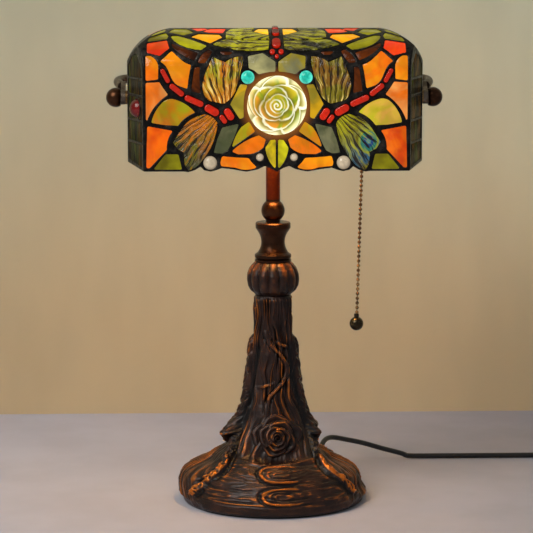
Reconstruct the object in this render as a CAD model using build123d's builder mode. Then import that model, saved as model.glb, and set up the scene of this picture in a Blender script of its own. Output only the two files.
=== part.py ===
"""A stained glass table lamp: a mosaic glass shade that tilts between two ball knobs on a bronze yoke,
a fluted stem, and a cast resin foot with a rose.

Millimetres. +Z is up, the front of the shade faces -Y, and the origin is the centre of the foot's underside.
"""
import os
from math import asin, cos, pi, radians, sin, sqrt

from build123d import *

# ---------------------------------------------------------------- driving dimensions
# How far a cutting shape runs past what it cuts
PAST = 10.0

# Shade: a trough, open below and behind, whose side profile is a front plane, two arcs and a back skirt
FRONT_Y = -95.0
HEM_Z = 310.0
TOP_Z = 426.0
CREST_Y = -45.0
BROW_R = 26.0
BROW_ANGLE = 50.0
BACK_R = 28.0
SKIRT_Z = 372.0
HALF_WIDTH = 127.0
SEAM_X = 113.0
SEAM_DEPTH = 41.0
CORNER_POINTS = [(HALF_WIDTH, 399.0), (112.0, 417.5), (90.0, TOP_Z)]
GLASS_T = 3.0
LEAD_PROUD = 0.7
LEAD_INSIDE = 0.4
WING_PROUD = 1.2
PRISM_REACH = 14.0
RAIL_H = 6.0
RAIL_SHORT = 5.0

# Pivot: the tilt axis runs along X through this point, and the parts on it are stacked outwards
PIVOT_Y = -40.0
PIVOT_Z = 366.5
RUN_GAP = 0.05
STACK_GAP = 0.1
NIPPLE_R = 4.0
NIPPLE_WALL = 1.5
NIPPLE_X = (90.0, 137.5)
LOCK_NUT_X = (118.7, 122.7)
LOCK_NUT_AF = 13.0
BEARING_R = 9.0
BEARING_X = (HALF_WIDTH - 3.5, HALF_WIDTH + 0.6)
THRUST_R = 6.0
THRUST_X = (BEARING_X[1] + STACK_GAP, BEARING_X[1] + STACK_GAP + 1.8)
EYE_R = 6.2
EYE_X = (THRUST_X[1] + STACK_GAP, THRUST_X[1] + STACK_GAP + 4.0)
KNOB_R = 8.5
KNOB_X = 138.0
KNOB_BACK_X = EYE_X[1] + 2 * STACK_GAP

# Stem: a threaded rod clamps the melon, spool, ball and tube between the foot and the yoke's hub
ROD_R = 4.9
ROD_BORE_R = 3.5
ROD_Z = (11.0, 365.0)
ROD_HOLE_R = ROD_R + 0.2
MELON_R = 23.8
MELON_Z = (187.0, 217.0)
MELON_LOBES = 14
MELON_VALLEY = 0.93
MELON_SECTIONS = [
    (0, 0.70), (0.1, 0.83), (0.25, 0.95), (0.4, 0.99), (0.55, 1.0), (0.7, 0.96), (0.85, 0.86), (1, 0.70),
]
SPOOL_R = 16.4
SPOOL_WAIST_R = 10.6
SPOOL_TOP_R = 15.7
SPOOL_Z = (MELON_Z[1], 252.0)
BALL_R = 10.5
BALL_Z = (SPOOL_Z[1], 272.6)
TUBE_R = 6.35
TUBE_Z = (BALL_Z[1], 358.0)

# Yoke: a bow behind the shade, in a hub on top of the stem, with a flat eye at each end
HUB_R = 9.0
HUB_Z = (TUBE_Z[1], 379.0)
HUB_ROUND = 2.5
SCREW_R = 2.5
SCREW_PROUD = 0.8
BOW_R = 4.0
BOW_Z = 371.0
BOW_POINTS = [
    (50, 3, 372), (100, 4.5, 376), (126, 0, 380), (136, -10, 379), (136, -19, 377.5), (133, -27, 375.5),
]

# Foot: a turned casting with a leafy flange at each side and a boss in front for the carved rose
FELT_T = 1.2
COVER_T = 1.0
FOOT_R = 83.0
TRUNK_R = 16.5
RECESS_R = 66.0
RECESS_TOP = 28.0
FLANGE_T = 18.0
FLANGE_POINTS = [
    (0, 152), (18.5, 150), (22, 138), (25, 120), (27.5, 102), (33, 88), (41, 73), (45, 64), (43, 52), (50, 49),
    (66, 37), (77, 28), (77, 10), (0, 10),
]
BOSS_AT = (4.0, -20.0, 66.0)
BOSS_WAY = (0, -1, 0.35)
BOSS_R = 17.0
BOSS_DEPTH = 25.0
BOSS_TAPER = 8.0

# Ballast in the foot's recess, held by a washer and nut on the rod
WEIGHT_R = 62.0
WEIGHT_Z = 17.5
WASHER_R = 11.0
WASHER_T = 1.5
NUT_AF = 17.0
NUT_T = 5.0

# Mains cord: down the rod, across the recess, out through a bushing, and over the table to its plug
CORD_R = 2.4
CORD_ANGLE = 60.0
CORD_OUT_Z = 13.0
CORD_TOP_Z = 14.0
CORD_FLOOR_Z = 5.4
CORD_BEND_R = 6.0
CORD_CLIMB = (40.0, RECESS_R - 2)
CORD_FALL = [
    (49, 98, 24), (59, 120, 29.5), (72.5, 130, 25.7), (90.5, 138, 20.3), (111.5, 146, 12.6), (132, 152.5, 5.6),
    (156, 157, 2.7),
]
CORD_REST = (262, 157, 2.7)
CORD_TURN = [(289, 162, 3.2), (303, 182, 5.2), (307, 208, 8.4)]
BUSHING_R = 4.5
BUSHING_LIP = 1.5
BUSHING_LIP_T = 2.0
PLUG_AT = (308, 239, 9.6)
PLUG_WAY = (0, 1, 0)
PLUG_GRIP = 10.0
PLUG_NECK_R = 3.6
PLUG_SIZE = (24.0, 16.0, 26.0)
BLADE_GAP = 12.7
BLADE_SIZE = (1.5, 6.3, 17.0)

# Lamp cord: up the rod, out through a port below the hub, and into the socket's cap
STEM_CORD_R = 1.5
STEM_BEND = 6.0
CORD_PORT_Z = 350.0
CORD_PORT_R = 2.6
CAP_PORT_X = 87.0
CAP_PORT_DEPTH = 9.0
STEM_CORD_POINTS = [
    (20, -26, 346), (55, -30, 341), (74, -31, 338), (84, -36, 338), (CAP_PORT_X, PIVOT_Y, 345),
]

# Socket, along the tilt axis on the right of centre
SOCKET_R = 16.5
SHELL_T = 0.6
SLEEVE_T = 0.7
FIT_GAP = 0.1
SOCKET_X = (44.0, 84.0)
SWITCH_X = (70.0, 84.0)
CAP_END_X = 98.0
THREAD_R = 13.0
THREAD_T = 0.4
CONTACT_R = 3.5

# Bulb: a frosted tube along the tilt axis
BULB_R = 15.0
BULB_WALL = 0.8
BULB_TIP_X = -52.0
BULB_NECK_R = 12.1
BULB_NECK_X = 46.0
BULB_NECK_LENGTH = 5.0
BULB_BASE_X = 66.0
BULB_CAP_START = BULB_NECK_X + 0.4
FILAMENT_X = (-30.0, 20.0)
FILAMENT_R = 1.2
MOUNT_R = 2.5

# Pull chain: it hangs from the switch's lever through a guide, leans a little, and ends in a ball
CHAIN_X = 77.5
CHAIN_LEAN = 5.0
BEAD_R = 1.6
BEAD_PITCH = 4.15
BEAD_COUNT = 41
BEAD_TOP_Z = 342.4
WIRE_R = 0.45
WIRE_STUB = 0.45
CHAIN_BALL_Z = 166.4
CHAIN_BALL_R = 6.15
BALL_NECK_R = 2.2
BALL_NECK_LENGTH = 3.6
GUIDE_Z = (345.0, 351.3)
GUIDE_R = 3.2
GUIDE_BORE_R = 2.15
GUIDE_FLANGE = 1.2
LEVER_LENGTH = 5.0
LEVER_T = 3.2
LEVER_X = CHAIN_X - LEVER_LENGTH
LEVER_Z = 359.5
PIN_R = 1.0
PIN_LENGTH = 9.6

# A cylinder or box drawn up from its base, on its own axis
FROM_BASE = (Align.CENTER, Align.CENTER, Align.MIN)

os.makedirs("parts", exist_ok=True)


def save(builder, label):
    """Labels a finished piece and writes it to its own file."""
    builder.part.label = label
    export_step(builder.part, f"parts/{label}.step")


def turned(axis_plane, points, label=None):
    """A turned piece: a closed outline of (radius, height) corners revolved about the plane's Y axis."""
    with BuildPart() as piece:
        with BuildSketch(axis_plane):
            with BuildLine():
                Polyline(*points, close=True)
            make_face()
        revolve(axis=Axis(axis_plane.origin, axis_plane.y_dir))
    if label:
        save(piece, label)
    return piece


def ring(low, high, outer, inner):
    """The outline of a plain ring for turned()."""
    return [(inner, low), (outer, low), (outer, high), (inner, high)]


UPRIGHT = Plane.XZ
ALONG_X = Plane(origin=(0, PIVOT_Y, PIVOT_Z), x_dir=(0, 0, 1), z_dir=(0, 1, 0))

# ---------------------------------------------------------------- shade surface
BROW_A = radians(BROW_ANGLE)
CROWN_R = BROW_R + (CREST_Y - FRONT_Y - BROW_R) / cos(BROW_A)
BROW_Z = TOP_Z - CROWN_R + (CROWN_R - BROW_R) * sin(BROW_A)
BACK_Y = CREST_Y + BACK_R
BACK_TOP_Z = TOP_Z - BACK_R
FLAT_V = BROW_Z - HEM_Z
BROW_V = FLAT_V + BROW_R * BROW_A
CREST_V = BROW_V + CROWN_R * (pi / 2 - BROW_A)
SHOULDER_V = CREST_V + BACK_R * pi / 2
SKIRT_V = SHOULDER_V + BACK_TOP_Z - SKIRT_Z


def shade_point(v):
    """The (y, z, slope) of the shade's outer profile at v mm above the hem, measured along the surface."""
    if v <= FLAT_V:
        return FRONT_Y, HEM_Z + v, 0.0
    if v <= BROW_V:
        slope = (v - FLAT_V) / BROW_R
        return FRONT_Y + BROW_R * (1 - cos(slope)), BROW_Z + BROW_R * sin(slope), slope
    if v <= CREST_V:
        slope = BROW_A + (v - BROW_V) / CROWN_R
        return CREST_Y - CROWN_R * cos(slope), TOP_Z - CROWN_R + CROWN_R * sin(slope), slope
    if v <= SHOULDER_V:
        slope = pi / 2 + (v - CREST_V) / BACK_R
        return CREST_Y - BACK_R * cos(slope), BACK_TOP_Z + BACK_R * sin(slope), slope
    return BACK_Y, BACK_TOP_Z - (v - SHOULDER_V), pi


def shade_block(inset, floor=HEM_Z - PAST):
    """The solid inside the shade's outer surface, with every face moved in by inset."""
    with BuildPart() as block:
        with BuildSketch(Plane.YZ):
            with BuildLine():
                Line((FRONT_Y, floor), (FRONT_Y, BROW_Z))
                for low, high in ((FLAT_V, BROW_V), (BROW_V, CREST_V), (CREST_V, SHOULDER_V)):
                    ThreePointArc(*[shade_point(v)[:2] for v in (low, (low + high) / 2, high)])
                Polyline((BACK_Y, BACK_TOP_Z), (BACK_Y, floor), (FRONT_Y, floor))
            make_face()
            offset(amount=-inset)
        extrude(amount=HALF_WIDTH + PAST, both=True)
        with BuildSketch(Plane.XZ):
            with BuildLine():
                Polyline((0, floor - PAST), (HALF_WIDTH, floor - PAST), CORNER_POINTS[0])
                ThreePointArc(*CORNER_POINTS)
                Line(CORNER_POINTS[-1], (0, TOP_Z))
                mirror(about=Plane.YZ)
            make_face()
            offset(amount=-inset)
        extrude(amount=-FRONT_Y * 2, both=True, mode=Mode.INTERSECT)
        with BuildSketch(Plane.XY):
            with BuildLine():
                Polyline(
                    (0, FRONT_Y), (SEAM_X, FRONT_Y), (HALF_WIDTH, FRONT_Y + SEAM_DEPTH),
                    (HALF_WIDTH, BACK_Y), (0, BACK_Y),
                )
                mirror(about=Plane.YZ)
            make_face()
            offset(amount=-inset)
        extrude(amount=TOP_Z * 2, both=True, mode=Mode.INTERSECT)
    return block.part


def shade_shell(outer_inset, inner_inset):
    """The shade's wall between two insets, open below the hem and behind, below the skirt."""
    with BuildPart() as shell:
        add(shade_block(outer_inset))
        add(shade_block(inner_inset, floor=HEM_Z - 2 * PAST), mode=Mode.SUBTRACT)
        with Locations((0, BACK_Y, SKIRT_Z)):
            Box(
                2 * (HALF_WIDTH - inner_inset), 4 * GLASS_T, SKIRT_Z,
                align=(Align.CENTER, Align.CENTER, Align.MAX), mode=Mode.SUBTRACT,
            )
    return shell.part


# ---------------------------------------------------------------- mosaic outlines
def via(u, v):
    """A point that an outline's edge curves through; a plain (u, v) pair is a corner."""
    return (u, v, True)


def bar(u1, v1, u2, v2, width):
    """The outline of a round-ended bar between two points."""
    run_u, run_v = u2 - u1, v2 - v1
    half = width / 2 / sqrt(run_u**2 + run_v**2)
    du, dv = run_u * half, run_v * half
    return [
        (u1 - dv, v1 + du), (u2 - dv, v2 + du), via(u2 + du, v2 + dv),
        (u2 + dv, v2 - du), (u1 + dv, v1 - du), via(u1 - du, v1 - dv),
    ]


# Each outline is (u, v) in mm on the unrolled shade: u out from the centre line, v up from the hem.
# Every outline is cut on the left half and mirrored to the right half.
PANES = {
    "glass_orange": [
        [(111, 96), (107.5, 96), via(102.5, 92), (100.5, 85), (100.7, 75.8), (111, 74.5)],
        [(110, 36), (88.5, 32), via(92.5, 25), (93.6, 16), (108.3, 0.4), (111, 0.4)],
        [
            (89, 101), (98.8, 90.8), via(93, 85.5), via(88.5, 75.5), (83, 70.3),
            (76, 67.8), via(75, 76), (72.8, 87.8), via(79.5, 91), via(85, 96.3),
        ],
        [
            (38.4, 14.4), via(28.3, 22.2), (15.4, 28), (9.5, 24.5), (11.5, 18),
            via(16, 14.6), (22, 12.4), (33, 12),
        ],
        [
            (48, 5), (46.7, 10.3), via(36, 9.3), (24, 8.6), via(21, 4.5), (17, 0.8),
            via(26, -1.2), (35, 0.6), (47.5, 2),
        ],
    ],
    "glass_red": [
        [(109.8, 110.3), (93.2, 114.6), (91.2, 103.8), (99.2, 96.0), (109.8, 99.2)],
        [(62, 132), (55.5, 143), (42.5, 142), (45.3, 128.3), (56, 128.6)],
        [(73, 146), (61, 147), (58, 138), (67, 133)],
    ],
    "glass_peach": [
        [(111, 72.8), (99.5, 73.3), via(96.2, 68), (92.3, 62.8), via(103, 53.6), (110.2, 40.7), (111, 40.7)],
    ],
    "glass_amber": [
        [
            (106.5, 39), via(102, 50), (96, 57), via(92.5, 58.7), (85.5, 58.3),
            via(77, 54.3), (69.5, 47.6), via(76, 44.4), (84, 36.5), (95.4, 37.2),
        ],
        [(23.7, 39.7), (18.7, 31.4), via(28.3, 24.7), (38.2, 17.8), via(34.7, 27.8), (30.2, 35.1)],
    ],
    "glass_green": [
        [(109.7, 112.8), (107.8, 118.8), (94, 128), (92, 122), (93.3, 116.8)],
        [(105, -0.8), (94.8, 12), (83.8, 12), (80.8, -0.8)],
        [(89.5, 122), (84, 122.3), via(71.5, 115), (59.3, 107), (64, 102), via(76, 105), via(86, 113)],
        [(91.5, 130.5), (87, 141.5), (76, 141), (70.5, 129), (79, 123.5)],
        [(5.5, 24), (1.2, 24.3), (1.1, -0.6), via(7, 7.5), (9.7, 17.4)],
        [(107, 121.5), (102, 137), (93, 143), (95.5, 131)],
    ],
    "glass_yellow": [
        [(72.5, 120.5), (66, 126), (48.5, 124.8), (46, 119.5), (56.2, 110.5)],
        [(19, 131), (14.5, 142.5), (6.3, 142), (6.3, 124.3), (12, 126.5)],
    ],
    "glass_umber": [
        [(89.7, 111.6), via(80, 105), (66.7, 98.8), (69.8, 91.8), via(80, 97), (88.2, 105.8)],
        [(69.7, 85.4), (65.4, 86.3), via(65.7, 77), (64.6, 63.8), (72.6, 65.8), via(71.2, 76)],
        [(57.7, 102.3), (54.8, 100.5), via(57.5, 94.7), (61.4, 89.2), (67, 89.7), via(63.8, 96.5)],
        [(49, 100.4), (36.8, 99.8), (40, 96.8), (45.5, 97)],
    ],
    "glass_slate": [
        [(32.4, 38), (46.5, 34.7), (50.6, 25), (53.8, 13.2), (47, 12.6), (42, 15), via(37, 25)],
    ],
    "glass_clear": [
        [
            (24.4, 95.6), (12, 98.6), (1.3, 90.5), (1.3, 82.3),
            via(8.5, 81.5), (15.5, 79.9), (19.2, 83), (23.8, 85.2),
        ],
        [
            (31, 71.5), (24.8, 70.8), via(27.6, 62), via(28.4, 52.6), (28.2, 43.4),
            (31.5, 42), (39.6, 54.5), via(34.9, 63.5),
        ],
    ],
    "glass_wings": [
        [
            (43.6, 90), via(36, 94.2), (29.5, 95.2), via(29.4, 90), (31, 83), via(32.4, 76), via(35.5, 66),
            (45.5, 55.3), (57.3, 58), via(62.3, 66), via(61.5, 77), (54.5, 95), via(49, 92),
        ],
        [
            (50.8, 38.5), via(55, 43.4), (61.5, 45.8), (69, 43.8), via(76, 39), (81, 33), (88, 22.3),
            (84.5, 17), (79.2, 14), (78.2, 3.5), (75.3, -1.4), via(70.5, 0.6), (63.5, 7.5), via(57, 17),
            via(52.6, 28),
        ],
        [
            (42.5, 126.5), via(39, 134), (33, 141), (18.5, 143), (21, 130), (6.3, 120.8), (6.3, 115.8),
            via(25, 115), (42.5, 117.2),
        ],
        [
            (53.3, 108.3), via(48, 112), (42.5, 114.4), via(25, 112.7), (6.3, 113.2), (7.2, 102.6),
            via(20, 101.0), (36, 102.4),
        ],
    ],
}

# The dragonflies' bodies: round-ended bars of red glass that stand proud of the panes
SIDE_BODIES = [
    bar(96.8, 82.8, 92.4, 74.6, 4.2),
    bar(88.8, 69.8, 81.0, 63.6, 5.0),
    bar(75.8, 59.8, 64.8, 54.9, 5.4),
    bar(58.2, 51.2, 52.3, 47.8, 6.8),
    bar(46.8, 43.6, 44.4, 40.2, 4.4),
    bar(42.0, 48.2, 39.3, 44.0, 6.4),
    bar(3.7, 99.7, 3.7, 99.2, 4.8),
]
CENTRE_BODIES = [
    bar(0, 131.5, 0, 125.5, 6.4),
    bar(0, 146.5, 0, 139.0, 5.6),
    bar(0, 112.3, 0, 107.6, 7.6),
    bar(0, 95.3, 0, 94.7, 3.6),
]
BODY_PROUD = 2.4

# Domed cabochons on the flat of the front: (u, v, radius, dome height)
ROSE = (0.0, 53.5, 25.2, 5.0)
TURQUOISE = [(24.7, 77.4, 5.6, 3.2)]
NUGGETS = [(56.8, 4.7, 5.8, 3.2), (14.5, 9.3, 3.3, 2.2)]

# The hem's scallops, from the centre line outwards
HEM_POINTS = [
    (0, -3), (6, 0.3), (10.5, 1.8), (16, -1), (26, -3), (37, -1), (47, 0.2), (51.5, -1.6), (56.5, -2.8),
    (62, -1.6), (65, 1.4), (70, -1.6), (75.5, -3.2), (79.5, -2.6), (113, -2.6), (HALF_WIDTH + 5, 3),
]

# Panes of the end bevels, as (run back from the seam, height), and the oval cabochon on the left one
BEVEL_START = 3.0
BEVEL_END = sqrt((HALF_WIDTH - SEAM_X) ** 2 + SEAM_DEPTH**2) - 2.5
BEVEL_PANES = [
    [(BEVEL_START, 386.5), (6, 397), (18, 406.5), (30, 403.5), (BEVEL_END, 395), (BEVEL_END, 386.5)],
    [(BEVEL_START, 384), (BEVEL_START, 372), (BEVEL_END, 372), (BEVEL_END, 384)],
    [(BEVEL_START, 369.5), (BEVEL_START, 351), (BEVEL_END, 351), (BEVEL_END, 369.5)],
    [(BEVEL_START, 348.5), (BEVEL_START, 332), (BEVEL_END, 332), (BEVEL_END, 348.5)],
    [(BEVEL_START, 329.5), (BEVEL_START, 310.5), (BEVEL_END, 315), (BEVEL_END, 329.5)],
]
JEWEL_RUN = 18.0
JEWEL_Z = 360.0
JEWEL_R = 8.0
JEWEL_H = 6.5
JEWEL_RING = 1.6
# Panes of the flat ends, as (distance in front of the stem's axis, height)
END_PANES = [
    [(51.5, 314.5), (19.5, 314.5), (19.5, 349), (51.5, 349)],
    [(51.5, 383.5), (19.5, 383.5), (19.5, 395.5), (51.5, 395.5)],
]

left_bevel = Plane(
    origin=(-SEAM_X, FRONT_Y, 0),
    x_dir=(HALF_WIDTH - SEAM_X, -SEAM_DEPTH, 0),
    z_dir=(-SEAM_DEPTH, SEAM_X - HALF_WIDTH, 0),
)
left_end = Plane(origin=(-HALF_WIDTH, 0, 0), x_dir=(0, -1, 0), z_dir=(-1, 0, 0))


def shade_plane(u, v):
    """The plane that touches the shade's left half at (u, v), facing out, with its Y up the surface."""
    y, z, slope = shade_point(v)
    return Plane(origin=(-u, y, z), x_dir=(1, 0, 0), z_dir=(0, -cos(slope), sin(slope)))


def outline_on_shade(outline):
    """An outline's touching plane, and its points in that plane."""
    middle_u = sum(point[0] for point in outline) / len(outline)
    middle_v = sum(point[1] for point in outline) / len(outline)
    plane = shade_plane(middle_u, middle_v)
    flat = []
    for point in outline:
        y, z, _ = shade_point(point[1])
        local = plane.to_local_coords(Vector(-point[0], y, z))
        flat.append((local.X, local.Y, len(point) == 3))
    return plane, flat


def pane_face(points):
    """The face of a pane: its edge is straight between corners, and curves through the via points."""
    with BuildSketch() as face:
        with BuildLine():
            run = []
            for u, v, is_via in points + points[:1]:
                run.append((u, v))
                if is_via or len(run) == 1:
                    continue
                if len(run) == 2:
                    Line(*run)
                elif len(run) == 3:
                    ThreePointArc(*run)
                else:
                    Spline(*run)
                run = [(u, v)]
        make_face()
    return face.sketch


def shade_prisms(outlines, reach=PRISM_REACH):
    """Prisms through the shade's wall over the outlines of the left half."""
    with BuildPart() as prisms:
        for outline in outlines:
            plane, points = outline_on_shade(outline)
            with BuildSketch(plane):
                add(pane_face(points))
            extrude(amount=reach, both=True)
    return prisms.part


def plane_prisms(plane, outlines, sign=-1):
    """Prisms through a flat wall; sign turns a run measured away from the plane's X axis."""
    with BuildPart() as prisms:
        for outline in outlines:
            with BuildSketch(plane):
                with BuildLine():
                    Polyline(*[(sign * run, height) for run, height in outline], close=True)
                make_face()
            extrude(amount=2 * GLASS_T, both=True)
    return prisms.part


# The plain panes over the crest and down the back: rows of slightly slanted rectangles
FILLER_ROWS = [(150.5, 167.6), (171.0, 188.2), (191.2, SKIRT_V - 2.5)]
FILLER_U = (1.4, 110.0)
FILLER_COLUMNS = 5
FILLER_LEAD = 2.6
FILLER_LEAN = 1.5
FILLER_STEP = (FILLER_U[1] - FILLER_U[0] + FILLER_LEAD) / FILLER_COLUMNS
FILLER_GLASS = ["glass_orange", "glass_green", "glass_amber", "glass_red", "glass_peach"]


def filler_outlines(row):
    """The outlines of one row of plain panes; their upright edges lean by turns."""
    low, high = FILLER_ROWS[row]
    outlines = []
    for column in range(FILLER_COLUMNS):
        left = FILLER_U[0] + column * FILLER_STEP
        right = left + FILLER_STEP - FILLER_LEAD
        lean = FILLER_LEAN if (column + row) % 2 else -FILLER_LEAN
        inner_lean = 0 if column == 0 else -lean
        outer_lean = 0 if column == FILLER_COLUMNS - 1 else lean
        outlines.append([
            (left - inner_lean, low), (right - outer_lean, low),
            (right + outer_lean, high), (left + inner_lean, high),
        ])
    return outlines


for filler_row in range(len(FILLER_ROWS)):
    for filler_column, filler_outline in enumerate(filler_outlines(filler_row)):
        glass_name = FILLER_GLASS[(filler_column + 2 * filler_row) % len(FILLER_GLASS)]
        PANES[glass_name].append(filler_outline)

# ---------------------------------------------------------------- shade glass
glass_shell = shade_shell(0, GLASS_T)
wing_shell = shade_shell(-WING_PROUD, GLASS_T)
lead_cutters = []

for glass_name, glass_outlines in PANES.items():
    pane_prisms = shade_prisms(glass_outlines)
    lead_cutters.append(pane_prisms)
    with BuildPart() as pane_node:
        add(pane_prisms)
        mirror(about=Plane.YZ)
        add(wing_shell if glass_name == "glass_wings" else glass_shell, mode=Mode.INTERSECT)
    save(pane_node, glass_name)


def proud_bars(outlines, both_sides):
    """Bars of glass through the wall that stand proud of it with rounded rims."""
    with BuildPart() as bars:
        for outline in outlines:
            plane, points = outline_on_shade(outline)
            with BuildSketch(plane.offset(-GLASS_T)):
                add(pane_face(points))
            extrude(amount=GLASS_T + BODY_PROUD)
            outward = Axis(plane.origin, plane.z_dir)
            fillet(bars.faces(Select.LAST).filter_by(outward).sort_by(outward)[-1].edges(), BODY_PROUD / 2)
        if both_sides:
            mirror(about=Plane.YZ)
    return bars.part


with BuildPart() as dragonfly_bodies:
    add(proud_bars(SIDE_BODIES, True))
    add(proud_bars(CENTRE_BODIES, False))
save(dragonfly_bodies, "dragonfly_bodies")
lead_cutters.append(shade_prisms(SIDE_BODIES))
centre_cutter = shade_prisms(CENTRE_BODIES)


def dome_profile(plane, radius, height):
    """Half the section of a round cabochon in a plane: a short cylinder under a spherical cap."""
    cap_r = (radius**2 + height**2) / (2 * height)
    half_angle = asin(radius / cap_r) / 2
    with BuildSketch(plane) as profile:
        with BuildLine():
            Polyline((0, height), (0, -GLASS_T), (radius, -GLASS_T), (radius, 0))
            middle = (cap_r * sin(half_angle), height - cap_r * (1 - cos(half_angle)))
            ThreePointArc((radius, 0), middle, (0, height))
        make_face()
    return profile.sketch


def cabochons(domes, both_sides):
    """Round glass cabochons set through the flat front, each a short cylinder with a domed face."""
    with BuildPart() as jewels:
        for u, v, radius, height in domes:
            plane = shade_plane(u, v)
            profile = Plane(origin=plane.origin, x_dir=plane.x_dir, z_dir=-plane.y_dir)
            add(dome_profile(profile, radius, height))
            revolve(axis=Axis(plane.origin, plane.z_dir))
        if both_sides:
            mirror(about=Plane.YZ)
    return jewels


def cabochon_cutter(domes):
    """Holes through the leading for round cabochons."""
    with BuildPart() as holes:
        for u, v, radius, _ in domes:
            with BuildSketch(shade_plane(u, v)):
                Circle(radius)
            extrude(amount=PRISM_REACH, both=True)
    return holes.part


save(cabochons([ROSE], False), "rose_cabochon")
save(cabochons(TURQUOISE, True), "turquoise_jewels")
save(cabochons(NUGGETS, True), "pearl_nuggets")
lead_cutters.append(cabochon_cutter(TURQUOISE + NUGGETS))
rose_cutter = cabochon_cutter([ROSE])

# End glass: the bevels, the flat ends, and one round cabochon on the left bevel
jewel_at = left_bevel.from_local_coords((-JEWEL_RUN, JEWEL_Z, 0))
jewel_plane = Plane(origin=jewel_at, x_dir=left_bevel.x_dir, z_dir=left_bevel.z_dir)


def jewel_bore(radius):
    """A round hole through the left bevel where its cabochon sits."""
    with BuildPart() as bore:
        with BuildSketch(jewel_plane):
            Circle(radius)
        extrude(amount=2 * GLASS_T, both=True)
    return bore.part


with BuildPart() as end_prisms:
    add(plane_prisms(left_bevel, BEVEL_PANES))
    add(plane_prisms(left_end, END_PANES, sign=1))
    mirror(about=Plane.YZ)
    add(jewel_bore(JEWEL_R + JEWEL_RING), mode=Mode.SUBTRACT)

with BuildPart() as glass_ends:
    add(end_prisms.part)
    add(glass_shell, mode=Mode.INTERSECT)
save(glass_ends, "glass_ends")

with BuildPart() as end_cabochon:
    jewel_section = Plane(origin=jewel_plane.origin, x_dir=jewel_plane.x_dir, z_dir=-jewel_plane.y_dir)
    add(dome_profile(jewel_section, JEWEL_R, JEWEL_H))
    revolve(axis=Axis(jewel_plane.origin, jewel_plane.z_dir))
save(end_cabochon, "end_cabochon")

# ---------------------------------------------------------------- shade leading and metalwork
with BuildPart() as shade_leading:
    add(shade_shell(-LEAD_PROUD, GLASS_T + LEAD_INSIDE))
    with BuildSketch(Plane.XZ):
        with BuildLine():
            hem_line = [(u, HEM_Z + v) for u, v in HEM_POINTS]
            Polyline(*hem_line, (HEM_POINTS[-1][0], HEM_Z - 30), (0, HEM_Z - 30), close=True)
        make_face()
        mirror(about=Plane.YZ)
    extrude(amount=-2 * FRONT_Y, both=True, mode=Mode.SUBTRACT)
    for cutter in lead_cutters:
        add(cutter, mode=Mode.SUBTRACT)
        add(mirror(cutter, about=Plane.YZ, mode=Mode.PRIVATE), mode=Mode.SUBTRACT)
    add(centre_cutter, mode=Mode.SUBTRACT)
    add(rose_cutter, mode=Mode.SUBTRACT)
    add(end_prisms.part, mode=Mode.SUBTRACT)
    add(jewel_bore(JEWEL_R), mode=Mode.SUBTRACT)
    with Locations(Plane(origin=(0, PIVOT_Y, PIVOT_Z), z_dir=(1, 0, 0))):
        Cylinder(BEARING_R, 4 * HALF_WIDTH, mode=Mode.SUBTRACT)
save(shade_leading, "shade_leading")

with BuildPart() as back_rail:
    with Locations((0, BACK_Y, SKIRT_Z - LEAD_PROUD)):
        Box(2 * (HALF_WIDTH - RAIL_SHORT), GLASS_T, RAIL_H, align=(Align.CENTER, Align.MAX, Align.MAX))
    fillet(back_rail.edges().filter_by(Axis.X), 0.8)
save(back_rail, "back_rail")


def along_x(low, high, outer, inner, both=False):
    """A plain ring or rod on the tilt axis, from x = low to x = high, and its mirror image if both."""
    with BuildPart() as piece:
        with BuildSketch(Plane(origin=(low, PIVOT_Y, PIVOT_Z), z_dir=(1, 0, 0))):
            Circle(outer)
            if inner:
                Circle(inner, mode=Mode.SUBTRACT)
        extrude(amount=high - low)
        if both:
            mirror(about=Plane.YZ)
    return piece


save(along_x(*BEARING_X, BEARING_R, NIPPLE_R + RUN_GAP, both=True), "end_bearings")
save(along_x(*THRUST_X, THRUST_R, NIPPLE_R, both=True), "thrust_washers")
save(along_x(*NIPPLE_X, NIPPLE_R, NIPPLE_R - NIPPLE_WALL), "pivot_nipple")
save(along_x(-NIPPLE_X[1], 0.5 - LOCK_NUT_X[0], NIPPLE_R, 0), "pivot_stud")

with BuildPart() as lock_nuts:
    with BuildSketch(Plane(origin=(LOCK_NUT_X[0], PIVOT_Y, PIVOT_Z), z_dir=(1, 0, 0))):
        RegularPolygon(LOCK_NUT_AF / 2, 6, major_radius=False)
        Circle(NIPPLE_R, mode=Mode.SUBTRACT)
    extrude(amount=LOCK_NUT_X[1] - LOCK_NUT_X[0])
    mirror(about=Plane.YZ)
save(lock_nuts, "lock_nuts")

with BuildPart() as knob_right:
    with Locations((KNOB_X, PIVOT_Y, PIVOT_Z)):
        Sphere(KNOB_R)
    split(bisect_by=Plane(origin=(KNOB_BACK_X, 0, 0), z_dir=(1, 0, 0)))
    with Locations(Plane(origin=(KNOB_BACK_X, PIVOT_Y, PIVOT_Z), z_dir=(1, 0, 0))):
        bore_depth = NIPPLE_X[1] + RUN_GAP - KNOB_BACK_X
        Cylinder(NIPPLE_R + RUN_GAP, bore_depth, align=FROM_BASE, mode=Mode.SUBTRACT)
save(knob_right, "knob_right")

with BuildPart() as knob_left:
    mirror(knob_right.part, about=Plane.YZ)
save(knob_left, "knob_left")

# ---------------------------------------------------------------- yoke
with BuildPart() as yoke_bow:
    with BuildLine():
        bow_path = Spline(*[(-x, y, z) for x, y, z in reversed(BOW_POINTS)], (0, 0, BOW_Z), *BOW_POINTS)
    with BuildSketch(Plane(origin=bow_path @ 0, z_dir=bow_path % 0)):
        Circle(BOW_R)
    sweep()
save(yoke_bow, "yoke_bow")

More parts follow.
